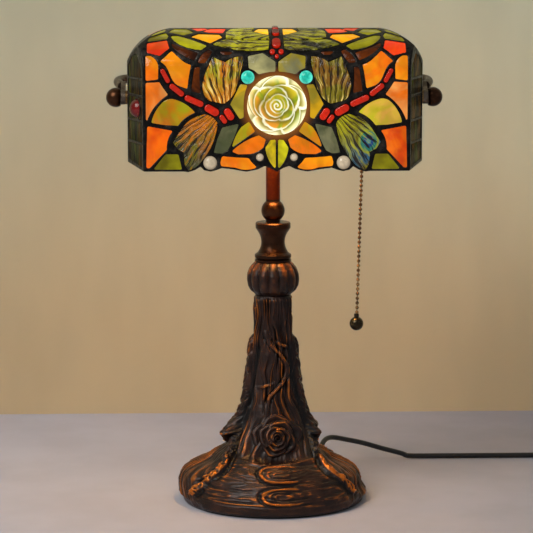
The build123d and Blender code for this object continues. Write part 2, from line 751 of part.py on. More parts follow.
with BuildPart() as yoke_eyes:
    tongue_y = BOW_POINTS[-1][1] - PIVOT_Y
    tongue_z = BOW_POINTS[-1][2] - PIVOT_Z
    with BuildSketch(Plane(origin=(EYE_X[0], PIVOT_Y, PIVOT_Z), x_dir=(0, 1, 0), z_dir=(1, 0, 0))):
        Circle(EYE_R)
        SlotCenterPoint((tongue_y / 2, tongue_z / 2), (tongue_y, tongue_z), 2 * BOW_R)
        Circle(NIPPLE_R, mode=Mode.SUBTRACT)
    extrude(amount=EYE_X[1] - EYE_X[0])
    mirror(about=Plane.YZ)
save(yoke_eyes, "yoke_eyes")

with BuildPart() as yoke_hub:
    with BuildSketch(UPRIGHT):
        with BuildLine():
            Polyline(*ring(HUB_Z[0], HUB_Z[1], HUB_R, 0), close=True)
        make_face()
    revolve(axis=Axis.Z)
    fillet(yoke_hub.edges().filter_by(GeomType.CIRCLE).group_by(Axis.Z)[-1], HUB_ROUND)
    with Locations(Plane.XY.offset(HUB_Z[0])):
        Cylinder(ROD_R, ROD_Z[1] - HUB_Z[0], align=FROM_BASE, mode=Mode.SUBTRACT)
    with Locations(Plane.XY.offset(BOW_Z + BOW_R - 0.5)):
        Cylinder(SCREW_R, 2 * HUB_R, align=FROM_BASE, mode=Mode.SUBTRACT)
    add(yoke_bow.part, mode=Mode.SUBTRACT)
save(yoke_hub, "yoke_hub")
turned(UPRIGHT, ring(BOW_Z + BOW_R + RUN_GAP, HUB_Z[1] + SCREW_PROUD, SCREW_R, 0), "hub_screw")

# ---------------------------------------------------------------- stem
CORD_PORT = Plane(origin=(0, 0, CORD_PORT_Z), z_dir=(0, -1, 0))

with BuildPart() as threaded_rod:
    with Locations(Plane.XY.offset(ROD_Z[0])):
        Cylinder(ROD_R, ROD_Z[1] - ROD_Z[0], align=FROM_BASE)
        Cylinder(ROD_BORE_R, ROD_Z[1] - ROD_Z[0], align=FROM_BASE, mode=Mode.SUBTRACT)
    with Locations(CORD_PORT):
        Cylinder(CORD_PORT_R, 2 * HUB_R, align=FROM_BASE, mode=Mode.SUBTRACT)
save(threaded_rod, "threaded_rod")

with BuildPart() as stem_tube:
    with Locations(Plane.XY.offset(TUBE_Z[0])):
        Cylinder(TUBE_R, TUBE_Z[1] - TUBE_Z[0], align=FROM_BASE)
        Cylinder(ROD_HOLE_R, TUBE_Z[1] - TUBE_Z[0], align=FROM_BASE, mode=Mode.SUBTRACT)
    with Locations(CORD_PORT):
        Cylinder(CORD_PORT_R, 2 * HUB_R, align=FROM_BASE, mode=Mode.SUBTRACT)
save(stem_tube, "stem_tube")

with BuildPart() as stem_ball:
    with BuildSketch(UPRIGHT):
        with BuildLine():
            ball_middle = (BALL_Z[0] + BALL_Z[1]) / 2
            rise = sqrt(BALL_R**2 - TUBE_R**2)
            ThreePointArc((TUBE_R, ball_middle - rise), (BALL_R, ball_middle), (TUBE_R, ball_middle + rise))
            Polyline(
                (TUBE_R, ball_middle + rise), (TUBE_R, BALL_Z[1]), (ROD_HOLE_R, BALL_Z[1]),
                (ROD_HOLE_R, BALL_Z[0]), (TUBE_R, BALL_Z[0]), (TUBE_R, ball_middle - rise),
            )
        make_face()
    revolve(axis=Axis.Z)
save(stem_ball, "stem_ball")

with BuildPart() as stem_spool:
    with BuildSketch(UPRIGHT):
        with BuildLine():
            low, high = SPOOL_Z
            Polyline(
                (SPOOL_WAIST_R + 3, low + 8), (SPOOL_R, low + 6), (SPOOL_R, low + 3.5),
                (SPOOL_R - 1.5, low + 2.5), (SPOOL_R, low + 1.5), (SPOOL_R, low), (ROD_HOLE_R, low),
                (ROD_HOLE_R, high),
                (SPOOL_TOP_R - 0.9, high), (SPOOL_TOP_R, high - 1), (SPOOL_TOP_R, high - 5),
                (SPOOL_TOP_R - 0.9, high - 6.5), (SPOOL_WAIST_R + 2.2, high - 9.5),
            )
            Spline((SPOOL_WAIST_R + 2.2, high - 9.5), (SPOOL_WAIST_R, low + 17), (SPOOL_WAIST_R + 3, low + 8))
        make_face()
    revolve(axis=Axis.Z)
save(stem_spool, "stem_spool")


def melon_section(radius):
    """A closed scalloped outline with one bulging arc for each lobe."""
    with BuildSketch() as section:
        with BuildLine():
            for lobe in range(MELON_LOBES):
                start, end = (2 * pi * (lobe + step) / MELON_LOBES for step in (0, 1))
                valley = radius * MELON_VALLEY
                ThreePointArc(
                    (valley * cos(start), valley * sin(start)),
                    (radius * cos((start + end) / 2), radius * sin((start + end) / 2)),
                    (valley * cos(end), valley * sin(end)),
                )
        make_face()
    return section.sketch


with BuildPart() as stem_melon:
    melon_height = MELON_Z[1] - MELON_Z[0]
    for share, width in MELON_SECTIONS:
        with BuildSketch(Plane.XY.offset(MELON_Z[0] + share * melon_height)):
            add(melon_section(MELON_R * width))
    loft(ruled=True)
    with Locations(Plane.XY.offset(MELON_Z[0])):
        Cylinder(ROD_HOLE_R, melon_height, align=FROM_BASE, mode=Mode.SUBTRACT)
save(stem_melon, "stem_melon")

# ---------------------------------------------------------------- foot
cord_way = (cos(radians(CORD_ANGLE)), sin(radians(CORD_ANGLE)))
cord_port = Plane(
    origin=(0, 0, CORD_OUT_Z), x_dir=(cord_way[1], -cord_way[0], 0), z_dir=(cord_way[0], cord_way[1], 0)
)

with BuildPart() as foot_casting:
    with BuildSketch(UPRIGHT):
        with BuildLine():
            Polyline((0, MELON_Z[0]), (0, FELT_T), (FOOT_R - 3, FELT_T), (FOOT_R, FELT_T + 5), (FOOT_R, 17))
            ThreePointArc((FOOT_R, 17), (FOOT_R - 2, 22.5), (FOOT_R - 7, 27))
            Spline((FOOT_R - 7, 27), (49, 44), (31, 74), (TRUNK_R + 3, 120), (TRUNK_R, 150))
            Polyline((TRUNK_R, 150), (TRUNK_R, MELON_Z[0]), (0, MELON_Z[0]))
        make_face()
    revolve(axis=Axis.Z)
    with BuildSketch(UPRIGHT):
        with BuildLine():
            Polyline(*FLANGE_POINTS, close=True)
        make_face()
        mirror(about=Plane.YZ)
    extrude(amount=FLANGE_T / 2, both=True)
    with BuildSketch(Plane(origin=BOSS_AT, z_dir=BOSS_WAY)):
        Circle(BOSS_R)
    extrude(amount=BOSS_DEPTH, taper=BOSS_TAPER)
    with Locations(Plane.XY):
        Cylinder(RECESS_R, RECESS_TOP, align=FROM_BASE, mode=Mode.SUBTRACT)
        Cylinder(ROD_HOLE_R, MELON_Z[0] + PAST, align=FROM_BASE, mode=Mode.SUBTRACT)
    with Locations(cord_port):
        Cylinder(BUSHING_R, 2 * FOOT_R, align=FROM_BASE, mode=Mode.SUBTRACT)
save(foot_casting, "foot_casting")

with BuildPart() as cord_bushing:
    with BuildSketch(cord_port.offset(RECESS_R + 1)):
        Circle(BUSHING_R)
        Circle(CORD_R, mode=Mode.SUBTRACT)
    extrude(amount=FOOT_R - RECESS_R)
    with BuildSketch(cord_port.offset(FOOT_R + 0.5)):
        Circle(BUSHING_R + BUSHING_LIP)
        Circle(CORD_R, mode=Mode.SUBTRACT)
    extrude(amount=BUSHING_LIP_T)
save(cord_bushing, "cord_bushing")

turned(UPRIGHT, ring(0, FELT_T, FOOT_R - 4, 0), "felt_pad")
turned(UPRIGHT, ring(FELT_T, FELT_T + COVER_T, RECESS_R - 0.2, 0), "bottom_cover")
turned(UPRIGHT, ring(WEIGHT_Z, RECESS_TOP, WEIGHT_R, ROD_HOLE_R), "foot_weight")
turned(UPRIGHT, ring(WEIGHT_Z - WASHER_T, WEIGHT_Z, WASHER_R, ROD_HOLE_R), "foot_washer")

with BuildPart() as foot_nut:
    with BuildSketch(Plane.XY.offset(WEIGHT_Z - WASHER_T - NUT_T)):
        RegularPolygon(NUT_AF / 2, 6, major_radius=False)
        Circle(ROD_R, mode=Mode.SUBTRACT)
    extrude(amount=NUT_T)
save(foot_nut, "foot_nut")

# ---------------------------------------------------------------- cord and plug
def cord_along(name, radius, *pieces):
    """A round cord of one radius along joined lines and curves."""
    with BuildPart() as cord:
        with BuildLine() as path:
            for piece in pieces:
                add(piece)
        with BuildSketch(Plane(origin=pieces[0] @ 0, z_dir=pieces[0] % 0)):
            Circle(radius)
        sweep(path=path.wires()[0])
    save(cord, name)
    return cord


way = Vector(cord_way[0], cord_way[1], 0)
bend_sag = CORD_BEND_R * (1 - sqrt(0.5))
bend_top = Vector(0, 0, CORD_FLOOR_Z + CORD_BEND_R)
bend_middle = way * bend_sag + Vector(0, 0, CORD_FLOOR_Z + bend_sag)
bend_end = way * CORD_BEND_R + Vector(0, 0, CORD_FLOOR_Z)
climb_start = way * CORD_CLIMB[0] + Vector(0, 0, CORD_FLOOR_Z)
climb_end = way * CORD_CLIMB[1] + Vector(0, 0, CORD_OUT_Z)
rod_run = Line((0, 0, CORD_TOP_Z), bend_top)
rod_bend = ThreePointArc(bend_top, bend_middle, bend_end)
floor_run = Line(bend_end, climb_start)
climbing_run = Spline(climb_start, climb_end, tangents=[(*cord_way, 0), (*cord_way, 0)])
through_wall = Line(climb_end, way * (FOOT_R + 4) + Vector(0, 0, CORD_OUT_Z))
falling_run = Spline(through_wall @ 1, *CORD_FALL, tangents=[(*cord_way, 0), (1, 0, 0)])
resting_run = Line(CORD_FALL[-1], CORD_REST)
plug_plane = Plane(origin=PLUG_AT, x_dir=(1, 0, 0), z_dir=PLUG_WAY)
plug_neck = plug_plane.from_local_coords((0, 0, -PLUG_GRIP))
turning_run = Spline(CORD_REST, *CORD_TURN, plug_neck, tangents=[(1, 0, 0), PLUG_WAY])
gripped_run = Line(plug_neck, PLUG_AT)
cord_along(
    "power_cord", CORD_R, rod_run, rod_bend, floor_run, climbing_run, through_wall, falling_run, resting_run,
    turning_run, gripped_run,
)

with BuildPart() as plug_body:
    with BuildSketch(plug_plane.offset(-PLUG_GRIP)):
        Circle(PLUG_NECK_R)
    with BuildSketch(plug_plane):
        RectangleRounded(PLUG_SIZE[0] * 0.75, PLUG_SIZE[1] * 0.9, PLUG_SIZE[1] * 0.4)
    with BuildSketch(plug_plane.offset(PLUG_SIZE[2])):
        RectangleRounded(PLUG_SIZE[0], PLUG_SIZE[1], PLUG_SIZE[1] * 0.3)
    loft()
    with Locations(plug_plane.offset(-PLUG_GRIP)):
        Cylinder(CORD_R, PLUG_GRIP, align=FROM_BASE, mode=Mode.SUBTRACT)
save(plug_body, "plug_body")

with BuildPart() as plug_blades:
    with BuildSketch(plug_plane.offset(PLUG_SIZE[2])):
        with GridLocations(BLADE_GAP, 0, 2, 1):
            Rectangle(BLADE_SIZE[0], BLADE_SIZE[1])
    extrude(amount=BLADE_SIZE[2])
    fillet(plug_blades.edges().filter_by(Axis(plug_plane.origin, plug_plane.z_dir)), 0.6)
save(plug_blades, "plug_blades")

stem_rise = Line((0, 0, CORD_TOP_Z + RUN_GAP), (0, 0, CORD_PORT_Z - STEM_BEND))
stem_turn = Spline(
    (0, 0, CORD_PORT_Z - STEM_BEND), (0, -STEM_BEND - 3, CORD_PORT_Z), tangents=[(0, 0, 1), (0, -1, 0)]
)
stem_run = Spline(stem_turn @ 1, *STEM_CORD_POINTS, tangents=[(0, -1, 0), (0, 0, 1)])
stem_entry = Line(STEM_CORD_POINTS[-1], (CAP_PORT_X, PIVOT_Y, PIVOT_Z - CAP_PORT_DEPTH))
cord_along("stem_cord", STEM_CORD_R, stem_rise, stem_turn, stem_run, stem_entry)

# ---------------------------------------------------------------- socket, along the tilt axis
chain_hole = Plane(origin=(CHAIN_X, PIVOT_Y, PIVOT_Z), z_dir=(0, 0, -1))
cap_hole = Plane(origin=(CAP_PORT_X, PIVOT_Y, PIVOT_Z), z_dir=(0, 0, -1))


def socket_ring(label, low, high, outer, inner):
    """A tube of the socket with the chain's hole through its underside."""
    with BuildPart() as tube:
        add(along_x(low, high, outer, inner).part)
        with Locations(chain_hole):
            Cylinder(GUIDE_R, 2 * SOCKET_R, align=FROM_BASE, mode=Mode.SUBTRACT)
    save(tube, label)


sleeve_r = SOCKET_R - SHELL_T - FIT_GAP
socket_ring("socket_shell", SOCKET_X[0], SOCKET_X[1], SOCKET_R, SOCKET_R - SHELL_T)
socket_ring("socket_insulator", SOCKET_X[0] + 1, SOCKET_X[1] - 1, sleeve_r, sleeve_r - SLEEVE_T)

with BuildPart() as socket_body:
    add(along_x(*SWITCH_X, sleeve_r - SLEEVE_T - FIT_GAP, 0).part)
    with Locations((SWITCH_X[0] + 1, PIVOT_Y, LEVER_Z + 3)):
        Box(
            SWITCH_X[1] - SWITCH_X[0] - 3, 6, SOCKET_R * 2,
            align=(Align.MIN, Align.CENTER, Align.MAX), mode=Mode.SUBTRACT,
        )
    with Locations(Plane(origin=(LEVER_X, PIVOT_Y, LEVER_Z), z_dir=(0, 1, 0))):
        Cylinder(PIN_R + RUN_GAP, PIN_LENGTH + 2 * RUN_GAP, mode=Mode.SUBTRACT)
save(socket_body, "socket_body")

with BuildPart() as switch_lever:
    with BuildSketch(Plane(origin=(LEVER_X, PIVOT_Y, LEVER_Z), x_dir=(1, 0, 0), z_dir=(0, -1, 0))):
        SlotCenterPoint((LEVER_LENGTH / 2, 0), (LEVER_LENGTH, 0), 2 * PIN_R + 0.8)
    extrude(amount=LEVER_T / 2, both=True)
    with Locations(Plane(origin=(LEVER_X, PIVOT_Y, LEVER_Z), z_dir=(0, 1, 0))):
        Cylinder(PIN_R, PIN_LENGTH)
save(switch_lever, "switch_lever")

thread_bore_r = THREAD_R + RUN_GAP
save(along_x(SOCKET_X[0] + 3, SWITCH_X[0] - 1, thread_bore_r + THREAD_T, thread_bore_r), "screw_shell")
save(along_x(SWITCH_X[0] - 1, SWITCH_X[0], CONTACT_R, 0), "centre_contact")

with BuildPart() as socket_cap:
    with BuildSketch(ALONG_X):
        with BuildLine():
            start = SOCKET_X[1] + RUN_GAP
            Polyline(
                (SOCKET_R, start), (SOCKET_R, start + 4), (SOCKET_R - 2.5, start + 9), (7.5, CAP_END_X - 2),
                (7.5, CAP_END_X), (NIPPLE_R, CAP_END_X), (NIPPLE_R, CAP_END_X - 3.5),
                (SOCKET_R - 4, start + 7.5),
                (SOCKET_R - 0.8, start + 3.5), (SOCKET_R - 0.8, start), close=True,
            )
        make_face()
    revolve(axis=Axis((0, PIVOT_Y, PIVOT_Z), (1, 0, 0)))
    with Locations(cap_hole):
        Cylinder(STEM_CORD_R + 0.3, 2 * SOCKET_R, align=FROM_BASE, mode=Mode.SUBTRACT)
save(socket_cap, "socket_cap")

turned(
    Plane(origin=(CHAIN_X, PIVOT_Y, 0), x_dir=(1, 0, 0), z_dir=(0, -1, 0)),
    [
        (GUIDE_BORE_R, GUIDE_Z[0]), (GUIDE_R + GUIDE_FLANGE, GUIDE_Z[0]),
        (GUIDE_R + GUIDE_FLANGE, GUIDE_Z[0] + GUIDE_FLANGE),
        (GUIDE_R, GUIDE_Z[0] + 2.5), (GUIDE_R, GUIDE_Z[1]), (GUIDE_BORE_R, GUIDE_Z[1]),
    ],
    "chain_guide",
)

# ---------------------------------------------------------------- bulb
neck_end = BULB_NECK_X + BULB_NECK_LENGTH
bulb_cap_r = THREAD_R - RUN_GAP

with BuildPart() as bulb_glass:
    with BuildSketch(ALONG_X):
        with BuildLine():
            for wall in (0, BULB_WALL):
                reach = BULB_R - wall
                neck_r = BULB_NECK_R - wall
                round_x = BULB_TIP_X + BULB_R
                diagonal = reach * sqrt(0.5)
                ThreePointArc((0, round_x - reach), (diagonal, round_x - diagonal), (reach, round_x))
                Polyline((reach, round_x), (reach, BULB_NECK_X - 10), (neck_r, BULB_NECK_X), (neck_r, neck_end))
            Line((0, BULB_TIP_X), (0, BULB_TIP_X + BULB_WALL))
            Line((BULB_NECK_R, neck_end), (BULB_NECK_R - BULB_WALL, neck_end))
        make_face()
    revolve(axis=Axis((0, PIVOT_Y, PIVOT_Z), (1, 0, 0)))
save(bulb_glass, "bulb_glass")

with BuildPart() as bulb_cap:
    with BuildSketch(ALONG_X):
        with BuildLine():
            Polyline(
                (bulb_cap_r, BULB_CAP_START), (bulb_cap_r, BULB_BASE_X - 5), (6, BULB_BASE_X), (0, BULB_BASE_X),
                (0, BULB_BASE_X - 1), (5.5, BULB_BASE_X - 1), (BULB_NECK_R, BULB_BASE_X - 6),
                (BULB_NECK_R, BULB_CAP_START), close=True,
            )
        make_face()
    revolve(axis=Axis((0, PIVOT_Y, PIVOT_Z), (1, 0, 0)))
    add(along_x(BULB_BASE_X, SWITCH_X[0] - 1 - RUN_GAP, CONTACT_R, 0).part)
save(bulb_cap, "bulb_cap")

with BuildPart() as bulb_mount:
    add(along_x(FILAMENT_X[1], BULB_BASE_X - 1, MOUNT_R, 0).part)
    add(along_x(*FILAMENT_X, FILAMENT_R, 0).part)
save(bulb_mount, "bulb_mount")


# ---------------------------------------------------------------- pull chain
def bead_place(index):
    """The centre of a bead: the chain leans a little from its guide to its ball."""
    z = BEAD_TOP_Z - index * BEAD_PITCH
    lean = CHAIN_LEAN * max(0, index) / BEAD_COUNT
    return Vector(CHAIN_X - lean, PIVOT_Y, z)


def chain_run(label, first, last, tail):
    """Beads from first to last on their wire; the wire runs on past the last bead by tail pitches."""
    with BuildPart() as run:
        for index in range(first, last + 1):
            with Locations(bead_place(index)):
                Sphere(BEAD_R)
        top = bead_place(first)
        bottom = bead_place(last)
        step = (bead_place(last + 1) - bottom) * tail
        length = (bottom + step - top).length
        with Locations(Plane(origin=top, z_dir=bottom + step - top)):
            Cylinder(WIRE_R, length, align=FROM_BASE)
    save(run, label)


chain_run("chain_head", -3, -1, WIRE_STUB)
chain_run("chain_link", 0, 0, WIRE_STUB)
chain_run("chain_beads", 1, BEAD_COUNT - 1, 0.7)

with BuildPart() as chain_ball:
    ball_centre = Vector(bead_place(BEAD_COUNT).X - 0.2, PIVOT_Y, CHAIN_BALL_Z)
    with Locations(ball_centre):
        Sphere(CHAIN_BALL_R)
        with Locations((0, 0, CHAIN_BALL_R - 1)):
            Cylinder(BALL_NECK_R, BALL_NECK_LENGTH, align=FROM_BASE)
save(chain_ball, "chain_ball")
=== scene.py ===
"""Looks for the stained glass table lamp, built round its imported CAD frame.

Metres, in the frame's own coordinates: +Z up, the mosaic front faces -Y, and the origin is under the foot's
centre. Lengths in the tables below are in millimetres, and MM turns them into metres.
"""
import math

import bmesh
import bpy
import numpy as np
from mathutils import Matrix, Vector


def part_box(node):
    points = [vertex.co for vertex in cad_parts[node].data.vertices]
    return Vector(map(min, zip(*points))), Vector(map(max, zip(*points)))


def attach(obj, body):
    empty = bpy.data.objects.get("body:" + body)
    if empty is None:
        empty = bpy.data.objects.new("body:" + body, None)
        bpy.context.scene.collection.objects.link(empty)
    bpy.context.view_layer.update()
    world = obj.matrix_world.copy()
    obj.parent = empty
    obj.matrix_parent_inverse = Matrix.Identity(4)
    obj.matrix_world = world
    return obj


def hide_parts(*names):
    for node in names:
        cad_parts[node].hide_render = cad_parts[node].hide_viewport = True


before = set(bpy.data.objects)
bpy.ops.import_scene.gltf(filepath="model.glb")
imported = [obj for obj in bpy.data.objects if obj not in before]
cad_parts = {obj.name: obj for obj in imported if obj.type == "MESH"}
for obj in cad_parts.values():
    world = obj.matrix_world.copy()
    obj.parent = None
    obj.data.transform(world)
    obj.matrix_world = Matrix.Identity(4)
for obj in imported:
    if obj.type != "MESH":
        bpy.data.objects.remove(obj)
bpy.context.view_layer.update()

MM = 0.001
PI = math.pi

# ---------------- places worked out from the frame
rose_low, rose_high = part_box("rose_cabochon")
bulb_low, bulb_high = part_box("bulb_glass")
foot_low, foot_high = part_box("foot_casting")
melon_low, melon_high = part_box("stem_melon")
ROSE = (rose_low + rose_high) / 2
ROSE_R = (rose_high.x - rose_low.x) / 2
BULB = (bulb_low + bulb_high) / 2
FOOT_TOP = foot_high.z / MM
FOOT_FLOOR = foot_low.z / MM
MELON_R = (melon_high.y - melon_low.y) / 2 / MM
MELON_Z = (melon_low.z / MM, melon_high.z / MM)


# ---------------- shader helpers
class Tree:
    """A node material under construction: each method adds one node and returns its output."""

    def __init__(self, name):
        self.material = bpy.data.materials.new(name)
        self.material.use_nodes = True
        self.tree = self.material.node_tree
        self.tree.nodes.clear()

    def node(self, kind, settings=(), **inputs):
        made = self.tree.nodes.new(kind)
        for key, value in dict(settings).items():
            setattr(made, key, value)
        for key, value in inputs.items():
            self.plug(made.inputs[key.replace("_", " ")], value)
        return made

    def plug(self, socket, value):
        if isinstance(value, bpy.types.NodeSocket):
            self.tree.links.new(value, socket)
        elif socket.type == "RGBA" and len(value) == 3:
            socket.default_value = (*value, 1)
        else:
            socket.default_value = value

    def math(self, operation, first, second=0.0):
        made = self.tree.nodes.new("ShaderNodeMath")
        made.operation = operation
        self.plug(made.inputs[0], first)
        self.plug(made.inputs[1], second)
        return made.outputs[0]

    def times(self, first, second):
        return self.math("MULTIPLY", first, second)

    def plus(self, first, second):
        return self.math("ADD", first, second)

    def minus(self, first, second):
        return self.math("SUBTRACT", first, second)

    def over(self, first, second):
        return self.math("DIVIDE", first, second)

    def larger(self, first, second):
        return self.math("MAXIMUM", first, second)

    def unsigned(self, value):
        return self.math("ABSOLUTE", value)

    def vector(self, operation, first, second=(0, 0, 0), scale=1.0):
        made = self.tree.nodes.new("ShaderNodeVectorMath")
        made.operation = operation
        self.plug(made.inputs[0], first)
        self.plug(made.inputs[1], second)
        self.plug(made.inputs[3], scale)
        return made.outputs["Value" if operation == "LENGTH" else "Vector"]

    def stretched(self, vector, factors):
        return self.vector("MULTIPLY", vector, factors)

    def mix(self, factor, first, second):
        made = self.tree.nodes.new("ShaderNodeMix")
        made.data_type = "RGBA"
        self.plug(made.inputs[0], factor)
        self.plug(made.inputs[6], first)
        self.plug(made.inputs[7], second)
        return made.outputs[2]

    def place(self):
        return self.node("ShaderNodeTexCoord").outputs["Object"]

    def split(self, vector):
        made = self.node("ShaderNodeSeparateXYZ", Vector=vector)
        return made.outputs["X"], made.outputs["Y"], made.outputs["Z"]

    def join(self, x, y, z):
        return self.node("ShaderNodeCombineXYZ", X=x, Y=y, Z=z).outputs[0]

    def noise(self, vector, scale, detail=3.0, roughness=0.5, distortion=0.0):
        return self.node(
            "ShaderNodeTexNoise", Vector=vector, Scale=scale, Detail=detail, Roughness=roughness,
            Distortion=distortion,
        ).outputs["Fac"]

    def ramp(self, value, low, high, to_low=0.0, to_high=1.0):
        made = self.node("ShaderNodeMapRange", (("interpolation_type", "SMOOTHSTEP"),), Value=value)
        for key, number in (("From Min", low), ("From Max", high), ("To Min", to_low), ("To Max", to_high)):
            self.plug(made.inputs[key], number)
        return made.outputs[0]

    def colour(self, name):
        return self.node("ShaderNodeAttribute", (("attribute_name", name),)).outputs["Color"]

    def number(self, name):
        return self.node("ShaderNodeAttribute", (("attribute_name", name),)).outputs["Fac"]

    def bump(self, height, distance, strength=1.0):
        return self.node("ShaderNodeBump", Height=height, Distance=distance, Strength=strength).outputs[0]

    def surface(self, **inputs):
        shader = self.tree.nodes.new("ShaderNodeBsdfPrincipled")
        for key, value in inputs.items():
            self.plug(shader.inputs[key.replace("_", " ")], value)
        out = self.tree.nodes.new("ShaderNodeOutputMaterial")
        self.tree.links.new(shader.outputs[0], out.inputs["Surface"])
        return self.material


def dress(thing, material):
    """Gives an object one material."""
    thing.data.materials.clear()
    thing.data.materials.append(material)


# ---------------- glow through the glass
# How far the glow reaches, how steeply it falls, its cap near the bulb, its stretch along the tubular bulb
GLOW_REACH = 0.075
GLOW_POWER = 1.15
GLOW_FLOOR = 0.6
GLOW_GAIN = 1.6
GLOW_STRETCH = (0.62, 1.0, 1.0)


def glow(tree):
    """How strongly the bulb lights the glass from behind: it falls off with distance from the bulb."""
    offset = tree.vector("SUBTRACT", tree.place(), tuple(BULB))
    distance = tree.vector("LENGTH", tree.stretched(offset, GLOW_STRETCH))
    fall = tree.math("POWER", tree.over(distance, GLOW_REACH), GLOW_POWER)
    return tree.over(GLOW_GAIN, tree.plus(GLOW_FLOOR, fall))


BLACK = (0, 0, 0)
# Noise sizes in the sheet glass, in cells to a metre: streaks, wisps in them, clouds, ripples, fine ripples
STREAKS, WISPS, CLOUDS, RIPPLES, FINE_RIPPLES = 26, 130, 55, 160, 620
SWIRL_MIDDLE = 0.56


def pane_glass(name, streak=0.55, ripple=0.35, shine=0.08, gloss=0.35):
    """Streaky sheet glass: two tints swirl through each pane, which glows from behind."""
    tree = Tree(name)
    place = tree.vector("ADD", tree.place(), tree.colour("shift"))
    broad = tree.noise(place, STREAKS, 3, 0.55, 1.6)
    fine = tree.noise(place, WISPS, 4, 0.6, 0.8)
    stir = tree.plus(broad, tree.times(fine, 0.12))
    swirl = tree.ramp(stir, SWIRL_MIDDLE - streak / 3, SWIRL_MIDDLE + streak / 3)
    tint = tree.mix(swirl, tree.colour("tint_a"), tree.colour("tint_b"))
    cloud = tree.ramp(tree.noise(place, CLOUDS, 2, 0.5, 0.6), 0.3, 0.75, 0.78, 1.18)
    strength = tree.times(tree.times(glow(tree), cloud), tree.number("lit"))
    height = tree.plus(tree.noise(place, RIPPLES, 2), tree.times(tree.noise(place, FINE_RIPPLES, 2), 0.25))
    return tree.surface(
        Base_Color=tree.mix(0.85, tint, BLACK), Roughness=tree.ramp(fine, 0.3, 0.7, shine, shine + 0.16),
        Specular_IOR_Level=gloss, Emission_Color=tint, Emission_Strength=strength,
        Normal=tree.bump(height, 0.0009, ripple),
    )


# The round eye of the right lower wing: its centre, half width and height, and rings as (from, to, tint)
EYE_CENTRE = (78.0, 333.0)
EYE_SIZE = (9.0, 11.0)
EYE_RINGS = [
    (1.05, 0.90, (0.30, 0.34, 0.03)), (0.86, 0.72, (0.02, 0.20, 0.14)), (0.55, 0.42, (0.008, 0.06, 0.20)),
    (0.28, 0.15, (0.08, 0.26, 0.24)),
]
# Painted shade laid into the grooves between the wings' ribs
FURROW_SHADE = (0.012, 0.006, 0.002)
# The ribs fan out from a wing's root: half the fan's width there, how fast it widens, and ribs in that half
WING_ROOT = 6.0
WING_WIDENS = 0.30
WING_RIBS = 2.5


def ribbed_glass(name):
    """Wing glass pressed with branching ribs that fan out from the wing's root, with painted shade in the
    grooves between the ribs and a painted highlight on their crests.
    """
    tree = Tree(name)
    place = tree.place()
    reach = tree.number("reach")
    along = tree.over(reach, tree.number("length"))
    spread = tree.plus(tree.times(tree.larger(reach, 0.0), WING_WIDENS), WING_ROOT)
    across = tree.over(tree.number("side"), spread)
    wander = tree.times(tree.minus(tree.noise(place, 52, 2), 0.5), 1.3)
    fan = tree.plus(tree.times(across, WING_RIBS), wander)
    flow = tree.join(tree.times(fan, 2.6), tree.times(along, 2.0), 0.0)
    veins = tree.noise(flow, 1.5, 2, 0.55, 0.5)
    wave = tree.math("SINE", tree.times(fan, 2 * PI))
    ribs = tree.plus(tree.times(wave, 0.12), veins)
    rib = tree.ramp(ribs, 0.30, 0.72)
    glint = tree.ramp(tree.noise(place, 70, 2), 0.36, 0.60, 0.2, 1.0)
    # Painted highlight along the rib crests, broken up by glints and strongest towards the root
    crest_highlight = tree.times(tree.times(tree.ramp(ribs, 0.56, 0.66), glint), tree.ramp(along, 1.1, 0.2, 0.35, 1.0))
    tip = tree.ramp(along, 0.15, 0.85)
    tint = tree.mix(tip, tree.colour("tint_a"), tree.colour("tint_b"))
    patch = tree.ramp(tree.noise(place, 42, 3, 0.6, 0.8), 0.44, 0.60)
    tint = tree.mix(patch, tint, tree.colour("tint_c"))
    offset = tree.vector("SUBTRACT", place, (EYE_CENTRE[0] * MM, 0, EYE_CENTRE[1] * MM))
    eye = tree.vector("LENGTH", tree.stretched(offset, (1 / EYE_SIZE[0] / MM, 0, 1 / EYE_SIZE[1] / MM)))
    for outside, inside, ring_tint in EYE_RINGS:
        tint = tree.mix(tree.ramp(eye, outside, inside), tint, ring_tint)
    # Painted shade in the rib grooves, then the painted highlight on the rib crests
    tint = tree.mix(tree.times(tree.ramp(ribs, 0.50, 0.38), 0.93), tint, FURROW_SHADE)
    tint = tree.mix(crest_highlight, tint, tree.colour("crest_highlight"))
    strength = tree.times(glow(tree), tree.number("lit"))
    return tree.surface(
        Base_Color=tree.mix(0.8, tint, BLACK), Roughness=0.12, Specular_IOR_Level=0.5, Emission_Color=tint,
        Emission_Strength=strength, Normal=tree.bump(rib, 0.0022, 0.8),
    )


# The rosette's rings of pressed petals: count, size, turn, and half the width of their lip
ROSETTE_RINGS = [(2, 0.38, 0.3, 0.038), (3, 0.56, 1.1, 0.040), (3, 0.76, 2.2, 0.044), (5, 0.95, 0.6, 0.044)]
ROSETTE_YELLOW, ROSETTE_GREEN = (0.72, 0.56, 0.012), (0.30, 0.40, 0.006)
# The fold tint is painted shade inside each petal's lip, and the lip tint is a painted highlight on the lip
ROSETTE_ORANGE, ROSETTE_FOLD_SHADE = (0.95, 0.36, 0.015), (0.20, 0.17, 0.004)
ROSETTE_RIM, ROSETTE_LIP_HIGHLIGHT = (1.0, 0.93, 0.55), (1.0, 0.98, 0.72)
COIL_PITCH = 9.0


